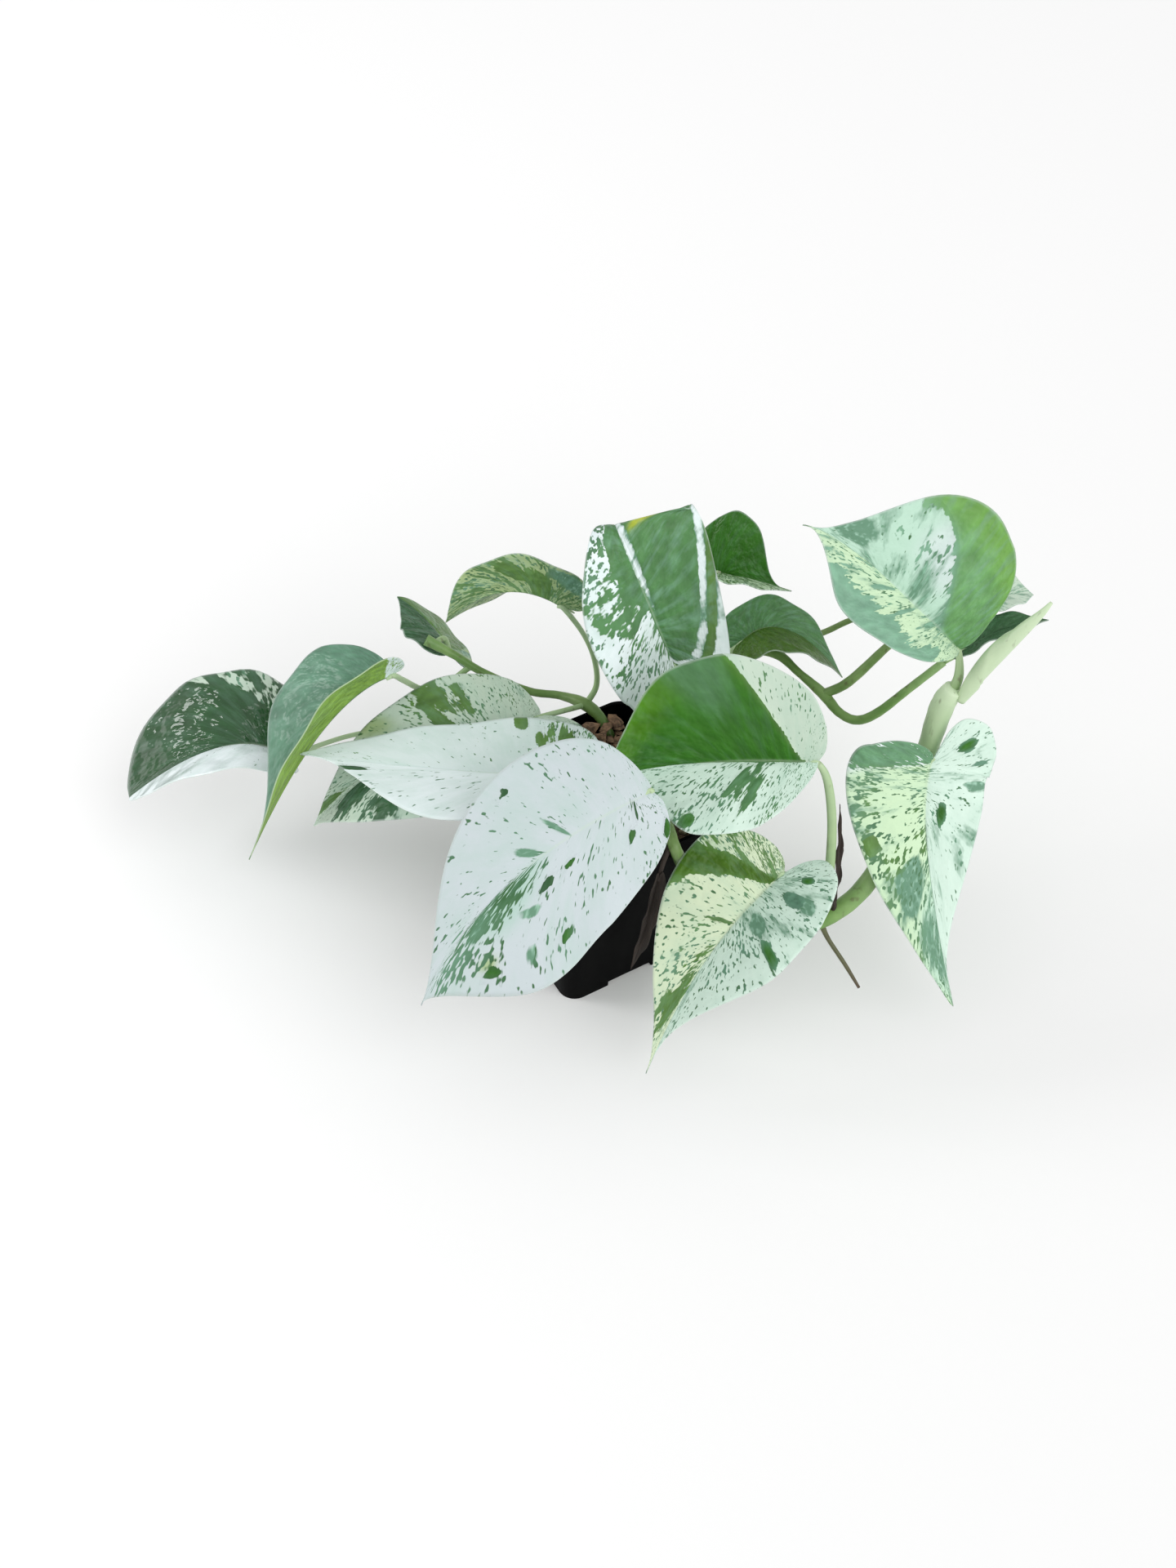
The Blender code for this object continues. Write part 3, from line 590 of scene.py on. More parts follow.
# %% The paint
SNOW = (0.8, 0.89, 0.9)
# A greyer copy of the white: painted shade for the front white leaf, which faces away from the light
SHADED_WHITE = (0.57, 0.64, 0.66)
MILK = (0.66, 0.76, 0.74)
ICE = (0.5, 0.72, 0.58)
FRESH_WHITE = (0.68, 0.85, 0.74)
SAGE = (0.56, 0.68, 0.56)
CREAM = (0.6, 0.79, 0.53)
HAY = (0.38, 0.5, 0.24)
VIVID = (0.038, 0.17, 0.012)
OLIVE = (0.06, 0.15, 0.006)
BOTTLE = (0.04, 0.125, 0.045)
GRASS = (0.095, 0.25, 0.085)
# A teal green: the leaf's own grey-green in marbled patches, and on the folded left leaf's far half a
# painted reflection of the sky
SEA_GREEN_AND_SKY_SHEEN = (0.13, 0.29, 0.19)
AQUA = (0.25, 0.48, 0.33)
SPRING = (0.17, 0.4, 0.14)
MOSS = (0.12, 0.25, 0.06)
# The paler green of a leaf's underside, brightened further as painted light shining through the leaf
UNDERSIDE_LIME_AND_BACKLIGHT = (0.23, 0.4, 0.07)
YELLOW = (0.62, 0.7, 0.05)


def change(dark=0, mint=0, flecks=0, pale=None, green=None):
    """What is added to the shares, and the pale and the green to pull towards."""
    return (dark, mint, flecks), pale, green


DARK = change(1.2)
FRESH = change(1.2, green=VIVID)
CLUSTER = change(0.58, 0.1, 0.1)
STREAKS = change(0.45, 0.1, 0.1)
GREYED = change(0.06, 0.9, green=SEA_GREEN_AND_SKY_SHEEN)
MISTED = change(0, 0.1, 0.1, pale=(0.42, 0.6, 0.52))
BLEACHED = change(-1.5, -0.5)
FLECKED = change(flecks=0.3)

HALVES = ("left", "right")
PAINT = {
    "leaf_far_left": dict(
        left=((0.0, 0.0, 0.12), SNOW, BOTTLE), right=((1.2, 0.1, 0.0), SAGE, (0.026, 0.095, 0.03)),
        wet=1.0,
        sectors=((-1, 0.24, 0.54, 0.6, change(-0.7, 0.1, 0.3)),),
    ),
    "leaf_folded_left": dict(
        # The left half's lime is its paler underside brightened as painted light shining through it; the
        # right half's teal green is a painted reflection of the sky on its upper side
        left=((1.3, 0.0, 0.0), MILK, UNDERSIDE_LIME_AND_BACKLIGHT), right=((1.3, 0.8, 0.0), SNOW, SEA_GREEN_AND_SKY_SHEEN), wet=0.3,
        marks=(
            (change(-0.9), (-0.3, 0.72, 0.5, 0.012), (-0.4, 0.66, 0.5, 0.006), (-0.35, 0.79, 0.5, 0.01)),
        ),
        sectors=((1, 0.34, 0.36, 1.0, change(-0.95)),),
    ),
    "leaf_small_back": dict(
        left=((0.4, 0.2, 0.4), HAY, MOSS), right=((0.4, 0.2, 0.4), HAY, MOSS),
        marks=(
            (DARK, (0.1, 0.5, 0.5, 0.05), (0.6, 0.58, 0.25, 0.03)), (GREYED, (0.75, 0.38, 0.2, 0.08)),
        ),
    ),
    "leaf_back_left": dict(
        left=((1.3, 0.5, 0.0), SAGE, BOTTLE), right=((1.3, 0.5, 0.0), HAY, MOSS),
        sectors=((-1, 0.4, 0.5, 1.0, change(-1.2)),),
    ),
    "leaf_low_left": dict(
        left=((0.2, 0.2, 0.26), SAGE, BOTTLE), right=((0.2, 0.2, 0.28), SAGE, MOSS),
        marks=(
            (DARK, (-0.2, 0.58, 0.28, 0.015), (-0.8, 0.88, 0.4, 0.04)),
            (CLUSTER, (-0.72, 0.55, 0.4, 0.03), (0.23, 0.84, 0.45, 0.04)),
            (STREAKS, (-0.5, 0.5, 0.3, 0.02), (0.6, 0.8, 0.4, 0.05), (0.8, 0.7, 0.3, 0.03)),
            (change(0.2, -0.2, 0, HAY, MOSS), (-1.0, 0.66, 0.4, 0.03)),
        ),
    ),
    "leaf_white_left": dict(
        left=((0.0, 0.0, 0.12), SNOW, BOTTLE), right=((0.0, 0.0, 0.13), MILK, MOSS),
        marks=(
            (DARK, (0.9, 0.74, 0.15, 0.012), (-0.55, 0.45, 0.25, 0.007), (-0.93, 0.55, 0.14, 0.012)),
            (CLUSTER, (-0.57, 0.51, 0.22, 0.012), (-0.72, 0.42, 0.2, 0.016)),
            (STREAKS, (-0.72, 0.47, 0.45, 0.06)), (FLECKED, (-0.5, 0.35, 0.7, 0.12)),
        ),
    ),
    "leaf_white_front": dict(
        # Both halves take the greyer white of painted shade
        left=((0.0, 0.0, 0.24), SHADED_WHITE, BOTTLE), right=((0.0, 0.0, 0.18), SHADED_WHITE, BOTTLE),
        marks=(
            (GREYED, (-0.17, 0.65, 0.14, 0.01), (-0.13, 0.57, 0.2, 0.008), (0.43, 0.6, 0.05, 0.03),
             (0.5, 0.7, 0.1, 0.02), (0.73, 0.58, 0.1, 0.016), (-0.4, 0.82, 0.12, 0.01)),
            (DARK, (0.27, 0.58, 0.05, 0.016), (0.13, 0.3, 0.14, 0.01), (-0.8, 0.56, 0.05, 0.008)),
            (FRESH, (0.22, 0.53, 0.03, 0.016), (0.73, 0.51, 0.05, 0.012), (0.83, 0.64, 0.05, 0.01),
             (0.9, 0.2, 0.12, 0.03), (0.37, 0.33, 0.08, 0.01)),
            (MISTED, (0.3, 0.68, 0.3, 0.07)), (change(0, 0, 0.1, pale=HAY), (0.77, 0.65, 0.06, 0.014)),
            (FLECKED, (0.4, 0.72, 0.5, 0.08)), (STREAKS, (-0.6, 0.93, 0.3, 0.03)),
        ),
    ),
    "leaf_green_centre": dict(
        left=((0.05, 0.1, 0.33), FRESH_WHITE, GRASS), right=((1.7, 0.0, 0.0), CREAM, VIVID),
        marks=(
            (DARK, (0.32, 0.53, 0.2, 0.006)), (CLUSTER, (0.55, 0.45, 0.3, 0.02)),
            (STREAKS, (0.3, 0.5, 0.4, 0.05), (0.85, 0.6, 0.2, 0.04)), (FRESH, (0.88, 0.585, 0.07, 0.01)),
            (change(green=(0.08, 0.25, 0.01)), (-1.0, 0.75, 0.3, 0.3)),
            (change(green=(0.09, 0.23, 0.09)), (-1.0, 0.55, 0.5, 0.06)),
        ),
        sectors=((-1, 0.27, 0.49, 0.5, change(-1.75, 0, 0.24, SAGE, MOSS)),),
    ),
    "leaf_arched_back": dict(
        left=((0.98, 0.6, 0.1), SNOW, GRASS), right=((1.4, 0.9, 0.0), SNOW, GRASS),
        marks=(
            (change(-0.4, 0.1, 0.2), (1.0, 0.66, 0.5, 0.09)), (change(-0.2), (0.1, 0.44, 0.3, 0.03)),
            (BLEACHED, (-0.07, 0.75, 0.11, 0.14), (-0.04, 0.56, 0.05, 0.14)),
            (change(green=YELLOW), (-0.5, 0.68, 0.3, 0.03)),
        ),
        sectors=(
            (1, 0.36, 0.74, 0.5, change(-0.5, -0.6, 0.2)), (1, 0.12, 0.56, 0.5, change(-0.35, 0, 0.05)),
            (-1, 0.2, 0.56, 1.5, change(-1.7, -0.6)),
            (-1, 0.16, 0.49, 1.5, change(1.7, 0.6, green=MOSS)),
            (-1, 0.11, 0.42, 1.5, change(-1.7, -0.6)),
        ),
    ),
    "leaf_back_cup": dict(
        left=((1.3, 0.0, 0.0), SAGE, VIVID), right=((0.4, 0.0, 0.4), CREAM, MOSS), wet=0.2,
    ),
    "leaf_back_dark": dict(
        left=((1.3, 0.5, 0.0), SAGE, GRASS), right=((1.3, 0.0, 0.0), SAGE, OLIVE), wet=0.2,
    ),
    "leaf_upper_right": dict(
        left=((0.2, 0.3, 0.3), CREAM, AQUA), right=((0.24, 0.4, 0.2), ICE, AQUA),
        marks=(
            (change(1.0), (1.0, 0.5, 0.45, 0.16)), (change(0.6), (0.8, 0.3, 0.4, 0.05)),
            (STREAKS, (0.3, 0.5, 0.2, 0.01), (0.25, 0.6, 0.2, 0.012), (0.2, 0.7, 0.2, 0.012)),
            (GREYED, (-0.8, 0.72, 0.3, 0.03)),
            (change(0.0, -0.2, 0.15, pale=MILK), (-0.5, 0.52, 0.3, 0.08)),
            (change(green=(0.18, 0.42, 0.08)), (-1.0, 0.4, 0.3, 0.25)),
            (change(0.3, 0.3), (-0.1, 0.4, 0.3, 0.06)),
        ),
        sectors=((-1, 0.34, 0.61, 0.7, change(1.3, 0.3, green=SPRING)),),
    ),
    "leaf_lower_right": dict(
        left=((0.08, 0.25, 0.22), FRESH_WHITE, SEA_GREEN_AND_SKY_SHEEN), right=((0.12, 0.3, 0.38), CREAM, MOSS),
        marks=(
            (GREYED, (-0.5, 0.76, 0.3, 0.035), (0.8, 0.5, 0.2, 0.012)),
            (DARK, (-0.85, 0.66, 0.12, 0.014)),
            (FRESH, (0.33, 0.6, 0.09, 0.03), (0.6, 0.31, 0.16, 0.025)),
            (STREAKS, (0.75, 0.4, 0.2, 0.015)), (MISTED, (0.2, 0.92, 0.5, 0.06)),
            (change(-0.05, 0.2, 0, ICE, AQUA), (-0.4, 0.9, 0.7, 0.1)),
        ),
        sectors=((-1, 0.24, 0.51, 0.5, change(0.6, 0.0, 0, SNOW, (0.14, 0.32, 0.16))),),
    ),
    "leaf_lower_centre": dict(
        left=((0.14, 0.25, 0.3), FRESH_WHITE, SEA_GREEN_AND_SKY_SHEEN), right=((0.12, 0.1, 0.3), (0.66, 0.76, 0.54), MOSS),
        marks=(
            (FRESH, (0.73, 0.54, 0.2, 0.012), (0.53, 0.29, 0.1, 0.02)), (DARK, (0.47, 0.38, 0.16, 0.022)),
            (GREYED, (0.3, 0.53, 0.12, 0.025), (0.7, 0.38, 0.12, 0.02)),
            (CLUSTER, (-0.15, 0.62, 0.25, 0.008), (-0.5, 0.8, 0.6, 0.05)),
            (STREAKS, (-0.3, 0.72, 0.35, 0.025)),
        ),
        sectors=(
            (-1, 0.3, 0.58, 0.5, change(1.3, green=OLIVE)),
            (-1, 0.22, 0.51, 0.5, change(-1.0, 0, 0.1, green=MOSS)),
        ),
    ),
    "leaf_far_right_dark": dict.fromkeys(HALVES, ((1.2, 0.0, 0.0), SAGE, BOTTLE)),
    "leaf_far_right_pale": dict.fromkeys(HALVES, ((0.0, 0.4, 0.1), SAGE, MOSS)),
}


# %% Reading the paint
SECTOR_SOFTNESS = 0.012


def changed(paint, effect, strength):
    """The paint after a change at this strength."""
    shares, pale, green = paint
    more, new_pale, new_green = effect
    shares = [share + added * strength for share, added in zip(shares, more)]
    if new_pale:
        pale = Vector(pale).lerp(Vector(new_pale), strength)
    if new_green:
        green = Vector(green).lerp(Vector(new_green), strength)
    return shares, pale, green


def paint_at(look, side, row):
    """The shares, the pale and the green at a place of the blade."""
    paint = half_of(look, side)
    for half, rib_row, edge_row, bend, effect in look.get("sectors", ()):
        if side * half > 0 or (side == 0 and half < 0):
            line = rib_row + (edge_row - rib_row) * abs(side) ** bend
            paint = changed(paint, effect, 0.5 + 0.5 * math.tanh((line - row) / SECTOR_SOFTNESS))
    for effect, *places in look.get("marks", ()):
        for mark_side, mark_row, reach_across, reach_along in places:
            away = ((side - mark_side) / reach_across) ** 2 + ((row - mark_row) / reach_along) ** 2
            paint = changed(paint, effect, math.exp(-(away**2)))
    return paint


# %% [markdown]
# ## Making the blades
# The grid carries four attributes to the material: where each point is on the leaf, its shares
# with how wet it shines, its pale and its green. Solidify gives the sheet its thickness.


# %% Build the blades
ROWS = 90
COLUMNS = 24
VISIBLE_THICKNESS = 0.55
WELD = 0.00002


def build_blade(name, leaf, look, index, surface):
    bm = bmesh.new()
    bmesh.ops.create_grid(bm, x_segments=2 * COLUMNS, y_segments=ROWS, size=1.0)
    place_of = bm.verts.layers.float_vector.new("leafpos")
    colours = ("paint", "pale", "green")
    paint_of, pale_of, green_of = (bm.verts.layers.float_color.new(colour) for colour in colours)
    for vert in bm.verts:
        side, row = vert.co.x, (vert.co.y + 1) / 2
        width = half_of(leaf, side)[0]
        shares, pale, green = paint_at(look, side, row)
        vert[place_of] = (side, row, index)
        vert[paint_of] = (*shares, look.get("wet", 0.0))
        vert[pale_of] = (*pale, 1.0)
        vert[green_of] = (*green, 1.0)
        greenness = min(max(shares[0], 0.0), 1.0)
        vert.co = blade_point(leaf, side, row, relief_height(side, row, width, greenness)) * MM
    bmesh.ops.remove_doubles(bm, verts=bm.verts, dist=WELD)
    thick = piece(name + "_blade", bm, surface, [name]).modifiers.new("Thickness", "SOLIDIFY")
    thick.thickness = VISIBLE_THICKNESS * MM
    thick.offset = 0.0


for index, (name, leaf) in enumerate(LEAVES.items()):
    build_blade(name, leaf, PAINT[name], index, marbled_leaf)
print("blades:", len(LEAVES))

# %% [markdown]
# ## Green stems and stalks
# A young stem is pale, then green, and a root or an old stem is brown. A tone from -1 (pale) through
# 0 (green) to 1 (brown) rides on the tube's points for the material to read, and fine lines run along
# it.


# %% Stem material
PALE_STEM = (0.6, 0.74, 0.5)
GREEN_STEM = (0.125, 0.265, 0.055)
BROWN_STEM = (0.075, 0.045, 0.025)
STEM_STREAK = (0.3, 0.46, 0.16)
STEM_ROUGHNESS = 0.42
STEM_DRIFT = ((60.0, 60.0, 60.0), 3.0, 0.6)
STEM_MARKS = ((330.0, 330.0, 90.0), 2.0, 0.5)
DRIFT_RAMP = (3.0, -1.1)
MARKS_RAMP = (7.0, -4.3)
DRIFT_STRENGTH = 0.6
MARKS_STRENGTH = 0.5
STEM_BUMP = (0.3, 0.0006)


def stem_surface():
    made, tree, shader = new_surface("living_stem", STEM_ROUGHNESS)
    tone = add(tree, "Attribute", attribute_name="tone").outputs["Fac"]
    spot = add(tree, "TexCoord").outputs["Object"]
    drift = scaled(ramped(grain(spot, *STEM_DRIFT), *DRIFT_RAMP), DRIFT_STRENGTH)
    marks = grain(spot, *STEM_MARKS)
    streaked = mixed(drift, GREEN_STEM, STEM_STREAK)
    paled = mixed(ramped(tone, -1.0, 0.0), streaked, PALE_STEM)
    browned = mixed(ramped(tone, 1.0, 0.0), paled, BROWN_STEM)
    specks = scaled(ramped(marks, *MARKS_RAMP), MARKS_STRENGTH)
    coat(shader, mixed(specks, browned, BROWN_STEM), marks, *STEM_BUMP)
    return made


living_stem = stem_surface()

# %% [markdown]
# ## The tube
# A circle is drawn along the route ring by ring. Each new ring is the last one extruded and moved
# on, so the skin stays one closed surface, and both ends are capped.


# %% The tube maker
RIBBING_RATE = 1.9


def ring_places(points, steps, ribbing):
    """Where each ring of a tube stands: a matrix and its share along the route."""
    count = (len(points) - 1) * steps + 1
    spots = [spline_point(points, i / (count - 1)) for i in range(count)]
    side_way = None
    for i, spot in enumerate(spots):
        ahead = (spots[min(i + 1, count - 1)] - spots[max(i - 1, 0)]).to_3d().normalized()
        side_way = side_way or ahead.orthogonal()
        side_way = (side_way - ahead * side_way.dot(ahead)).normalized()
        turn = Matrix((side_way, ahead.cross(side_way), ahead)).transposed().to_4x4()
        radius = spot.w * (1 + ribbing * math.sin(i * RIBBING_RATE)) * MM
        yield Matrix.Translation(spot.to_3d() * MM) @ turn @ Matrix.Scale(radius, 4), i / (count - 1)


def tube(bm, route, steps, sides, tones=(0.0, 0.0), ribbing=0.0, lateness=1.0):
    """Draws a closed round skin along a route of (x, y, z, radius). A late tone changes near the end."""
    tone_of = bm.verts.layers.float.get("tone") or bm.verts.layers.float.new("tone")
    places = list(ring_places([Vector(point) for point in route], steps, ribbing))
    last = places[0][0]
    verts = bmesh.ops.create_circle(bm, cap_ends=True, segments=sides, radius=1.0, matrix=last)["verts"]
    edges = list({edge for vert in verts for edge in vert.link_edges})
    for place, share in places:
        if share > 0:
            drawn = bmesh.ops.extrude_edge_only(bm, edges=edges)["geom"]
            verts = picked(drawn, bmesh.types.BMVert)
            edges = [edge for edge in picked(drawn, bmesh.types.BMEdge) if edge.is_boundary]
            bmesh.ops.transform(bm, matrix=place @ last.inverted(), verts=verts)
            last = place
        for vert in verts:
            vert[tone_of] = tones[0] + (tones[1] - tones[0]) * share**lateness
    bmesh.ops.edgeloop_fill(bm, edges=edges)


# %% [markdown]
# ## The stalks
# A stalk starts green at the stem and pales towards its blade. It runs on under the midrib for a few
# millimetres, where the two grow together.


# %% Build the stalks
STALK_TOP_RADIUS = 1.25
STALK_RIB_RADIUS = 0.7
RIB_REACH = 4.0
RIB_DROP = 1.4
TOP_DROP = 0.7
STALK_TONES = (-0.2, -0.75)
STALK_STEPS = 8
STALK_SIDES = 14


def build_stalk(name, route, surface, tones=(0.0, 0.0)):
    bm = bmesh.new()
    tube(bm, route, STALK_STEPS, STALK_SIDES, tones)
    piece(name + "_stalk", bm, surface, [name])


for name, leaf in LEAVES.items():
    base = Vector(leaf["base"])
    _, forward, up, _ = midrib_frame(leaf, 0.0)
    rib_end = base + forward * RIB_REACH - up * RIB_DROP
    route = [*leaf["stalk"], (*(base - up * TOP_DROP), STALK_TOP_RADIUS), (*rib_end, STALK_RIB_RADIUS)]
    build_stalk(name, route, living_stem, STALK_TONES)
print("stalks:", len(LEAVES))

# %% [markdown]
# ## The stems
# Each stem is one or more routes. Where a leaf or a branch grows, the stem swells to a node, and
# faint rings run round it all along.


# %% Build the stems
STEMS = {
    "stem_front": (
        (
            (26, -4, 66, 2.6), (30, -9, 88, 2.7), (32, -24, 105, 2.7), (35, -37, 105, 2.7),
            (39, -36, 92, 3.0), (45, -34, 75, 3.2), (57, -33, 60, 3.4), (72, -33, 51, 3.6),
            (88, -36, 50, 3.9), (103, -40, 57, 4.3), (122, -32, 70, 4.3), (138, -16, 96, 4.4),
            (147, 0, 124, 4.6), (152, 7, 148, 5.4), (156, 8, 158, 4.6),
        ),
        ((103, -40, 56, 1.6), (107, -44, 48, 1.1), (115, -51, 38, 1.0), (122, -57, 28, 0.7)),
    ),
    "stem_left": (
        (
            (10, 34, 64, 2.4), (9, 38, 88, 2.4), (4, 44, 100, 2.4), (-4, 50, 105, 3.0),
            (-16, 57, 104, 2.0), (-31, 61, 103, 1.9), (-52, 67, 109, 1.9), (-66, 71, 117, 2.0),
            (-79, 74, 124, 2.8),
        ),
    ),
    "stem_back": (
        (
            (22, 22, 64, 2.5), (24, 26, 90, 2.5), (33, 40, 108, 2.3), (50, 60, 113, 2.2),
            (69, 74, 116, 2.1), (85, 70, 119, 2.4), (96, 61, 115, 1.9), (107, 52, 110, 2.6),
            (114, 43, 107, 2.2), (122, 39, 106, 2.2), (131, 39, 111, 2.2), (144, 43, 122, 2.0),
            (160, 50, 133, 1.9),
        ),
        (
            (85, 70, 119, 1.9), (96, 78, 118, 1.6), (110, 82, 122, 1.5), (125, 83, 130, 1.4),
            (150, 80, 138, 1.3),
        ),
        ((107, 52, 110, 2.2), (118, 52, 118, 2.3), (134, 58, 134, 2.0), (142, 61, 141, 1.7)),
    ),
    "stem_centre": (
        ((12, 4, 64, 3.6), (12, 4, 90, 3.6), (12, 5, 102, 4.2), (12, 6, 112, 3.2)),
    ),
}

STEM_TONES = {
    "stem_front": ((0.25, -1.0), (0.8, 1.0)),
    "stem_left": ((0.25, -0.1),),
    "stem_back": ((0.2, -0.15), (0.3, 0.4), (0.2, 0.3)),
    "stem_centre": ((0.2, 0.0),),
}
STEM_SIDES = STALK_SIDES + 4
STEM_RIBBING = 0.02
STEM_LATENESS = 4.0
for name, routes in STEMS.items():
    bm = bmesh.new()
    for route, tones in zip(routes, STEM_TONES[name]):
        tube(bm, route, STALK_STEPS, STEM_SIDES, tones, STEM_RIBBING, STEM_LATENESS)
    piece(name + "_vine", bm, living_stem, [name])
print("stems:", len(STEMS), [len(routes) for routes in STEMS.values()])

# %% [markdown]
# ## The newest leaf
# A pothos leaf comes out rolled into a spindle, with the free edge winding round it as a seam.


# %% Build the furled leaf
FURLED_LEAF = (
    (158.5, 4.6, 154.0, 2.5), (164.0, 7.0, 165.0, 4.2), (171.0, 9.0, 177.0, 4.6),
    (180.0, 11.0, 189.0, 3.4), (187.0, 12.0, 198.0, 1.9), (191.0, 13.0, 204.0, 0.8),
)
FURLED_SIDES = 24
FURLED_TONES = (-0.8, -1.0)
SEAM_DEPTH = 0.24
SEAM_TURNS = 1.2
bm = bmesh.new()
tube(bm, FURLED_LEAF, STALK_STEPS, FURLED_SIDES, FURLED_TONES)
axis_start = Vector(FURLED_LEAF[0][:3]) * MM
axis_end = Vector(FURLED_LEAF[-1][:3]) * MM
axis = (axis_end - axis_start).normalized()
first_way = axis.orthogonal().normalized()
second_way = axis.cross(first_way)
for vert in bm.verts:
    share = (vert.co - axis_start).dot(axis) / (axis_end - axis_start).length
    middle = spline_point([Vector(point) for point in FURLED_LEAF], share).to_3d() * MM
    out = vert.co - middle
    angle = math.atan2(out.dot(second_way), out.dot(first_way))
    seam = (angle / (2 * math.pi) + share * SEAM_TURNS) % 1.0
    vert.co = middle + out * (1 - SEAM_DEPTH + SEAM_DEPTH * seam)
furled = piece("furled_leaf", bm, living_stem, ["leaf_furled_new"])
print("furled leaf faces:", len(furled.data.polygons))

# %% [markdown]
# ## Dried sheaths
# Each new leaf leaves a papery sheath on the stem. It dries brown and curls.


# %% Build the sheaths
SHEATHS = {
    "dried_sheath_front": dict(
        base=(28, -43, 89), crown=(23.5, -43, 57), tip=(17, -43, 23),
        facing=(0.3, -1, 0.2), left=(4.5, 35, 30, 1, 0, 1), right=(4, 25, 30, 1, 0, 1),
        stalk=((34, -34, 105, 1.3), (30.5, -40, 99, 1.1)),
    ),
    "dried_sheath_right": dict(
        base=(107.5, -42, 74), crown=(107.8, -39, 100), tip=(106, -31.5, 127),
        facing=(0.6, -1, 0.2), left=(1.7, 0, 0, 1, 0, 1), right=(1.7, 0, 0, 1, 0, 1),
        stalk=((106.5, -38, 57, 1.1), (108.5, -40, 66, 1.0)),
    ),
}

SHEATH_TONES = ((0.012, 0.008, 0.006), (0.04, 0.024, 0.015))
SHEATH_ROUGHNESS = 0.75
SHEATH_FIBRES = ((14.0, 3.0, 1.0), 3.0, 0.6)
SHEATH_RAMP = (3.0, -1.0)
SHEATH_BUMP = (0.6, 0.0008)
SHEATH_PAINT = dict.fromkeys(HALVES, ((0.0, 0.0, 0.0), *reversed(SHEATH_TONES)))
SHEATH_END_RADIUS = 1.0

dry_sheath = two_toned(
    "dry_sheath", SHEATH_ROUGHNESS, SHEATH_TONES, SHEATH_FIBRES, SHEATH_RAMP, SHEATH_BUMP, "leafpos"
)
for index, (name, sheath) in enumerate(SHEATHS.items()):
    build_blade(name, sheath, SHEATH_PAINT, index, dry_sheath)
    route = [*sheath["stalk"], (*sheath["base"], SHEATH_END_RADIUS)]
    build_stalk(name, route, dry_sheath)
print("sheaths:", len(SHEATHS))

# %% [markdown]
# ## The pot
# A nursery pot is a thin shell with a folded rim. A square plate with rounded corners is drawn up
# the outside and down the inside, and a small bevel takes the sharpness off the moulding.


# %% Pot numbers
# A square nursery pot of 9 x 9 x 10 cm, turned on its base
POT_WIDTH = 90.0
POT_HEIGHT = 100.0
POT_BASE_WIDTH = 68.0
POT_WALL = 1.6
POT_TURN = 30.0
POT_CORNER_RADIUS = 8.5
POT_CORNER_STEPS = 12
RIM_BAND = 9.0
RIM_STEP = 2.0
RIM_SHOULDER = 1.0
DRAIN_HOLE_RADIUS = 4.0
DRAIN_HOLE_PLACE = 16.0
DRAIN_HOLE_SIDES = 24
NOTCH_LENGTH = 24.0
NOTCH_REACH = 9.0
NOTCH_HEIGHT = 7.0
SEAT_GAP = 0.3


def pot_width_at(height):
    """The outer width of the pot's sloping wall at this height."""
    return POT_BASE_WIDTH + (POT_WIDTH - 2 * RIM_STEP - POT_BASE_WIDTH) * height / POT_HEIGHT


def pot_rings():
    """(width, height) of the shell, from the underside up its outside and down its inside."""
    band_low = POT_HEIGHT - RIM_BAND
    walls = 2 * POT_WALL
    return (
        (POT_BASE_WIDTH, 0.0),
        (pot_width_at(band_low), band_low),
        (POT_WIDTH, band_low + RIM_SHOULDER),
        (POT_WIDTH, POT_HEIGHT),
        (POT_WIDTH - walls, POT_HEIGHT),
        (pot_width_at(band_low) - walls, band_low - RIM_SHOULDER),
        (pot_width_at(POT_WALL) - walls, POT_WALL),
    )


# %% Build the pot
SOFT_EDGE = 0.45
SOFT_STEPS = 3
SHARP_FROM = math.radians(35)
PLASTIC_BLACK = (0.0008, 0.0009, 0.001)
PLASTIC_DUST = (0.0025, 0.0025, 0.0025)
PLASTIC_ROUGHNESS = 0.5
PLASTIC_GLOSS = 0.025
DUST_STREAKS = ((160.0, 160.0, 14.0), 4.0, 0.6)
DUST_RAMP = (3.0, -1.45)
PLASTIC_WEAR = ((900.0, 900.0, 900.0), 2.0, 0.5)
PLASTIC_BUMP = (0.08, 0.0004)


def pot_surface():
    made, tree, shader = new_surface("black_plastic", PLASTIC_ROUGHNESS)
    spot = add(tree, "TexCoord").outputs["Object"]
    dust = ramped(grain(spot, *DUST_STREAKS), *DUST_RAMP)
    feed(shader.inputs["Specular IOR Level"], PLASTIC_GLOSS)
    coat(shader, mixed(dust, PLASTIC_BLACK, PLASTIC_DUST), grain(spot, *PLASTIC_WEAR), *PLASTIC_BUMP)
    return made


black_plastic = pot_surface()


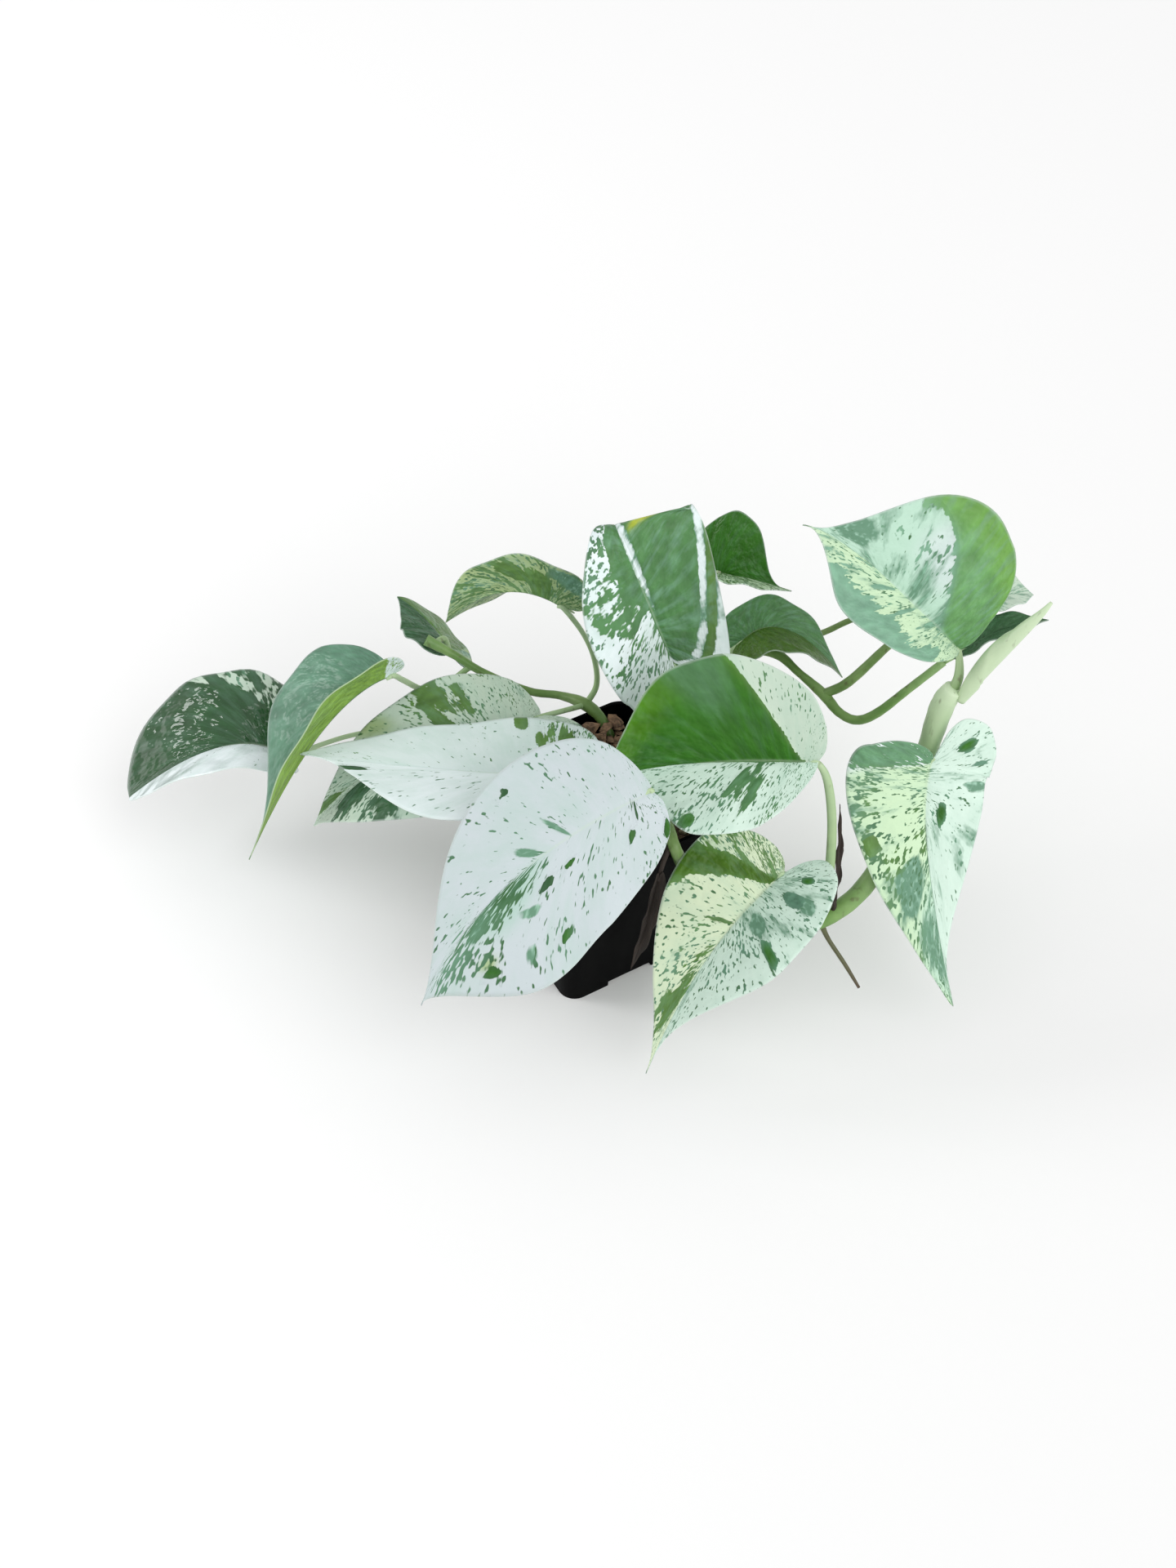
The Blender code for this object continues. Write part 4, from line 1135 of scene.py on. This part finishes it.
def drawn_shell(bm, rings):
    """Draws the rounded square up the outside and down the inside, ring by ring."""
    width, height = rings[0]
    bmesh.ops.create_grid(bm, x_segments=1, y_segments=1, size=width / 2 * MM)
    bmesh.ops.bevel(bm, geom=bm.verts[:], offset=POT_CORNER_RADIUS * MM, segments=POT_CORNER_STEPS,
                    profile=0.5, affect="VERTICES", material=-1)
    bm.faces.ensure_lookup_table()
    top = bm.faces[0]
    for next_width, next_height in rings[1:]:
        drawn = bmesh.ops.extrude_face_region(bm, geom=[top])["geom"]
        if height > 0.0:
            bmesh.ops.delete(bm, geom=[top], context="FACES_ONLY")
        verts = picked(drawn, bmesh.types.BMVert)
        top = picked(drawn, bmesh.types.BMFace)[0]
        spread = next_width / width
        bmesh.ops.scale(bm, verts=verts, vec=(spread, spread, 1.0))
        bmesh.ops.translate(bm, verts=verts, vec=(0.0, 0.0, (next_height - height) * MM))
        width, height = next_width, next_height
    bmesh.ops.rotate(bm, verts=bm.verts, matrix=Matrix.Rotation(math.radians(POT_TURN), 3, "Z"))


bm = bmesh.new()
drawn_shell(bm, pot_rings())
pot = piece("pot_shell", bm, black_plastic, ["pot"])
for side in range(4):
    turn = Matrix.Rotation(math.radians(POT_TURN + 90 * side), 4, "Z")
    tool = bmesh.new()
    hole = turn @ Matrix.Translation((DRAIN_HOLE_PLACE * MM, 0.0, 0.0))
    bmesh.ops.create_cone(tool, cap_ends=True, segments=DRAIN_HOLE_SIDES, radius1=DRAIN_HOLE_RADIUS * MM,
                          radius2=DRAIN_HOLE_RADIUS * MM, depth=3 * POT_WALL * MM, matrix=hole)
    notch = turn @ Matrix.Translation((POT_BASE_WIDTH / 2 * MM, 0.0, 0.0))
    size = Matrix.Diagonal((NOTCH_REACH * MM, NOTCH_LENGTH * MM, NOTCH_HEIGHT * MM, 1.0))
    bmesh.ops.create_cube(tool, size=1.0, matrix=notch @ size)
    cutter = placed("cut", as_mesh("cut", tool))
    cut = pot.modifiers.new("Cut", "BOOLEAN")
    cut.operation = "DIFFERENCE"
    cut.object = cutter
    bpy.context.view_layer.update()
    result = bpy.data.meshes.new_from_object(pot.evaluated_get(bpy.context.evaluated_depsgraph_get()))
    pot.modifiers.clear()
    pot.data = result
    bpy.data.objects.remove(cutter)
soft = pot.modifiers.new("Soft edges", "BEVEL")
soft.width = SOFT_EDGE * MM
soft.segments = SOFT_STEPS
soft.limit_method = "ANGLE"
soft.angle_limit = SHARP_FROM
pot.data.shade_smooth()
pot.data.set_sharp_from_angle(angle=SHARP_FROM)
print("pot faces:", len(pot.data.polygons))

# %% [markdown]
# ## The potting mix
# The crumbs are a rough sheet that fills the pot. Chunks of bark and a few pale pebbles are strewn
# over it from a fixed seed, and more bark is heaped against the back wall, where it rises to the rim.


# %% Soil numbers and form
# Rough crumbs, chunks of bark and pebbles on them, and a heap at the back left
SOIL_TOP = 89.0
SOIL_ROUGHNESS = 2.2
SOIL_CRUMB = 7.0
SOIL_CORNER_PULL = 0.16
SOIL_CORNER_POWER = 4
SOIL_EDGE_POWER = 6
HEAP_PLACE = (-20.0, 27.0)
HEAP_REACH = 13.0
HEAP_HEIGHT = 13.0
CHUNK_SPREAD = 34.0
# How many, then the least and the most of their half length, half width and rise
LYING_BARK = (15, (6.0, 11.0), (3.0, 5.0), (2.0, 5.0))
LYING_PEBBLES = (12, (3.0, 4.5), (2.6, 3.6), (2.0, 3.0))
SEED = 7


def chunks():
    """Seeded bark and pebbles: (x, y, half length, half width, rise, turn) of each."""
    draw = random.Random(SEED)
    made = []
    for count, *spans in (LYING_BARK, LYING_PEBBLES):
        for _ in range(count):
            angle = draw.uniform(0, 2 * math.pi)
            reach = CHUNK_SPREAD * math.sqrt(draw.random())
            sizes = [draw.uniform(*span) for span in spans]
            place = (reach * math.cos(angle), reach * math.sin(angle))
            made.append((*place, *sizes, draw.uniform(0, math.pi)))
    return made


def soil_height(x, y, lying, edge):
    """The soil's top: rough crumbs, the heap, and domes where bark and pebbles lie.

    Edge is 0 in the middle and 1 at the pot's wall, where only the crumbs are left."""
    crumb = noise.noise(Vector((x / SOIL_CRUMB, y / SOIL_CRUMB, SEED)))
    heap_x, heap_y = HEAP_PLACE
    away = ((x - heap_x) ** 2 + (y - heap_y) ** 2) / HEAP_REACH**2
    heap = HEAP_HEIGHT * math.exp(-away)
    dome = 0.0
    for chunk_x, chunk_y, length, width, rise, turn in lying:
        dx, dy = x - chunk_x, y - chunk_y
        along = (dx * math.cos(turn) + dy * math.sin(turn)) / length
        across = (dy * math.cos(turn) - dx * math.sin(turn)) / width
        dome = max(dome, rise * max(0.0, 1.0 - along**2 - across**2) ** 0.5)
    return SOIL_TOP + SOIL_ROUGHNESS * crumb + (heap + dome) * (1.0 - edge**SOIL_EDGE_POWER)


# %% Soil materials
GRIT_RAMP = (3.2, -1.1)
GRIT_DETAIL = (5.0, 0.7)
GRIT_STRENGTH = 0.9
# Each has its roughness, how fine its grit is, how deep that bumps, and its dark and light tones
EARTHS = {
    "crumbs": (0.95, 420.0, 0.002, ((0.02, 0.012, 0.008), (0.15, 0.085, 0.05))),
    "bark": (0.85, 260.0, 0.001, ((0.045, 0.024, 0.015), (0.34, 0.2, 0.12))),
    "pebble": (0.7, 300.0, 0.0006, ((0.22, 0.15, 0.09), (0.6, 0.48, 0.33))),
}
earths = {
    name: two_toned(name, roughness, tones, ((fine,) * 3, *GRIT_DETAIL), GRIT_RAMP, (GRIT_STRENGTH, deep))
    for name, (roughness, fine, deep, tones) in EARTHS.items()
}
print("soil materials:", *earths)

# %% Build the soil
lying = chunks()
half_top = pot_width_at(SOIL_TOP - SOIL_ROUGHNESS) / 2 - POT_WALL - SEAT_GAP
half_floor = pot_width_at(POT_WALL) / 2 - POT_WALL - SEAT_GAP
SOIL_GRID = 110
FINE_CRUMB = 1.6
FINE_ROUGHNESS = 0.7
FINE_SEED = 2.0
bm = bmesh.new()
bmesh.ops.create_grid(bm, x_segments=SOIL_GRID, y_segments=SOIL_GRID, size=1.0)
rim = [edge for edge in bm.edges if edge.is_boundary]
soil_turn = Matrix.Rotation(math.radians(POT_TURN), 2)
for vert in bm.verts:
    u, v = vert.co.x, vert.co.y
    pull = SOIL_CORNER_PULL * (u * v) ** SOIL_CORNER_POWER
    x, y = soil_turn @ Vector((u, v)) * half_top * (1.0 - pull)
    fine = FINE_ROUGHNESS * noise.noise(Vector((x / FINE_CRUMB, y / FINE_CRUMB, FINE_SEED)))
    vert.co = Vector((x, y, soil_height(x, y, lying, max(abs(u), abs(v))) + fine)) * MM
low = picked(bmesh.ops.extrude_edge_only(bm, edges=rim)["geom"], bmesh.types.BMVert)
taper = half_floor / half_top
for vert in low:
    vert.co = (vert.co.x * taper, vert.co.y * taper, (POT_WALL + SEAT_GAP) * MM)
bmesh.ops.contextual_create(bm, geom=low + [edge for edge in bm.edges if edge.is_boundary])
bed = piece("crumb_bed", bm, earths["crumbs"], ["soil"])
print("crumb bed faces:", len(bed.data.polygons))

# %% Strew bark and pebbles
STREW_REACH = 0.93
WALL_CLEARANCE = 4.0
HEAP_RUN = (-0.35, 0.88)
HEAP_WIDTH = 0.5
HEAP_RISE = 12.0
NARROWING = (0.45, 0.75)
MOST_TILT = 0.5
SHOWN_SHARE = 0.35
LUMP_RATE = 1.3
LUMP_SHIFT = 5.1
BARK_SHARP_FROM = math.radians(30)
# How many, how long, flatness, roughness, facets and seed
BARK_BITS = (90, (2.5, 6.5), 0.32, 0.8, 1, 3)
HEAPED_BARK = (80, (3.0, 7.0), 0.36, 0.8, 1, 8)
PEBBLES = (60, (1.6, 3.0), 0.75, 0.25, 2, 5)


def over_the_pot(draw):
    """A random place anywhere on the soil, in shares of the pot's half width, and not raised."""
    return draw.uniform(-STREW_REACH, STREW_REACH), draw.uniform(-STREW_REACH, STREW_REACH), 0.0


def on_the_heap(draw):
    """A random place on the heap against the back wall, with how far it's raised."""
    share = draw.uniform(0.0, 1.0)
    return draw.uniform(*HEAP_RUN), STREW_REACH - HEAP_WIDTH * share, HEAP_RISE * (1 - share)


def strewn(name, surface, chosen, count, size, flatness, rough, facets, seed):
    """Lumps of these sizes, each turned and tilted its own way. Chosen picks the place of each."""
    draw = random.Random(seed)
    bm = bmesh.new()
    for i in range(count):
        u, v, raised = chosen(draw)
        x, y = soil_turn @ Vector((u, v)) * (half_top - WALL_CLEARANCE)
        length = draw.uniform(*size)
        top = soil_height(x, y, lying, max(abs(u), abs(v))) + raised
        new = bmesh.ops.create_icosphere(bm, subdivisions=facets, radius=1.0)["verts"]
        scale = Matrix.Diagonal((length, length * draw.uniform(*NARROWING), length * flatness, 1.0))
        tilts = (draw.uniform(-MOST_TILT, MOST_TILT), draw.uniform(-MOST_TILT, MOST_TILT), 0.0)
        spin = Matrix.Rotation(draw.uniform(0, math.pi), 4, "Z")
        spot = Matrix.Translation((x, y, top + length * flatness * SHOWN_SHARE))
        laid = spot @ Euler(tilts).to_matrix().to_4x4() @ spin @ scale
        for vert in new:
            lump = 1 + rough * noise.noise(vert.co * LUMP_RATE + Vector((i * LUMP_SHIFT, 0, seed)))
            vert.co = (laid @ (vert.co * lump)) * MM
    return piece(name, bm, surface, ["soil"])


for bits in (
    strewn("bark_bits", earths["bark"], over_the_pot, *BARK_BITS),
    strewn("heaped_bark", earths["bark"], on_the_heap, *HEAPED_BARK),
):
    bits.data.set_sharp_from_angle(angle=BARK_SHARP_FROM)
strewn("pebbles", earths["pebble"], over_the_pot, *PEBBLES)
print("strewn lumps:", BARK_BITS[0] + HEAPED_BARK[0] + PEBBLES[0])

# %% [markdown]
# ## Floor, light and camera
# A pale floor, an even pale sky, and one soft window on the left, which stands where the wet left
# leaves mirror it towards the camera. A wide soft sun from the front right lifts the sides that face
# the camera.


# %% Stage
FLOOR_SIZE = 4.0
FLOOR_WHITE = (0.97, 0.97, 0.97)
FLOOR_ROUGHNESS = 0.9
FLOOR_GLOSS = 0.1
SKY_WHITE = (1.0, 1.0, 1.0)
SKY_STRENGTH = 0.66
bm = bmesh.new()
bmesh.ops.create_grid(bm, x_segments=1, y_segments=1, size=FLOOR_SIZE)
floor = placed("floor", as_mesh("floor", bm))
floor_white, _, floor_shader = new_surface("floor_white", FLOOR_ROUGHNESS)
feed(floor_shader.inputs["Base Color"], FLOOR_WHITE)
feed(floor_shader.inputs["Specular IOR Level"], FLOOR_GLOSS)
floor.data.materials.append(floor_white)
floor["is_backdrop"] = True

world = bpy.data.worlds.new("studio")
world.use_nodes = True
sky = world.node_tree.nodes["Background"].inputs
feed(sky["Color"], SKY_WHITE)
feed(sky["Strength"], SKY_STRENGTH)
bpy.context.scene.world = world
bpy.context.scene.view_settings.view_transform = "Standard"
print("stage:", floor.name, world.name)


# %% Lamps
WINDOW_PLACE = (-1.35, 0.1, 0.75)
WINDOW_SIZE = 0.5
WINDOW_POWER = 6.0
SUN_PLACE = (0.75, -0.75, 0.85)
SUN_STRENGTH = 1.5
SUN_SPREAD = 60.0
PLANT_MIDDLE = (0.0, 0.0, 0.1)


def lamp(name, kind, place, power):
    """A lamp that stands at a place and shines at the plant's middle."""
    light = bpy.data.lights.new(name, kind)
    light.energy = power
    obj = placed(name, light)
    obj.location = place
    obj.rotation_euler = (Vector(PLANT_MIDDLE) - Vector(place)).to_track_quat("-Z", "Y").to_euler()
    return light


window = lamp("window", "AREA", WINDOW_PLACE, WINDOW_POWER)
window.size = WINDOW_SIZE
sun = lamp("sun", "SUN", SUN_PLACE, SUN_STRENGTH)
sun.angle = math.radians(SUN_SPREAD)
print("lamps:", window.name, sun.name)

# %% Camera
LENS = 45.0
SENSOR = 36.0
CAMERA_PLACE = (-0.002963, -0.592306, 0.762804)
CAMERA_TILT = 42.0
camera = bpy.data.cameras.new("camera")
camera.lens = LENS
camera.sensor_width = SENSOR
view = placed("camera", camera)
view.location = CAMERA_PLACE
view.rotation_euler = (math.radians(CAMERA_TILT), 0.0, 0.0)
bpy.context.scene.camera = view
print("camera lens:", camera.lens)

# %% Size and finish
boxes = {"start": box_at_start, "end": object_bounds()}
boxes = {name: [list(corner) for corner in box] for name, box in boxes.items()}
print("box:", boxes["end"])
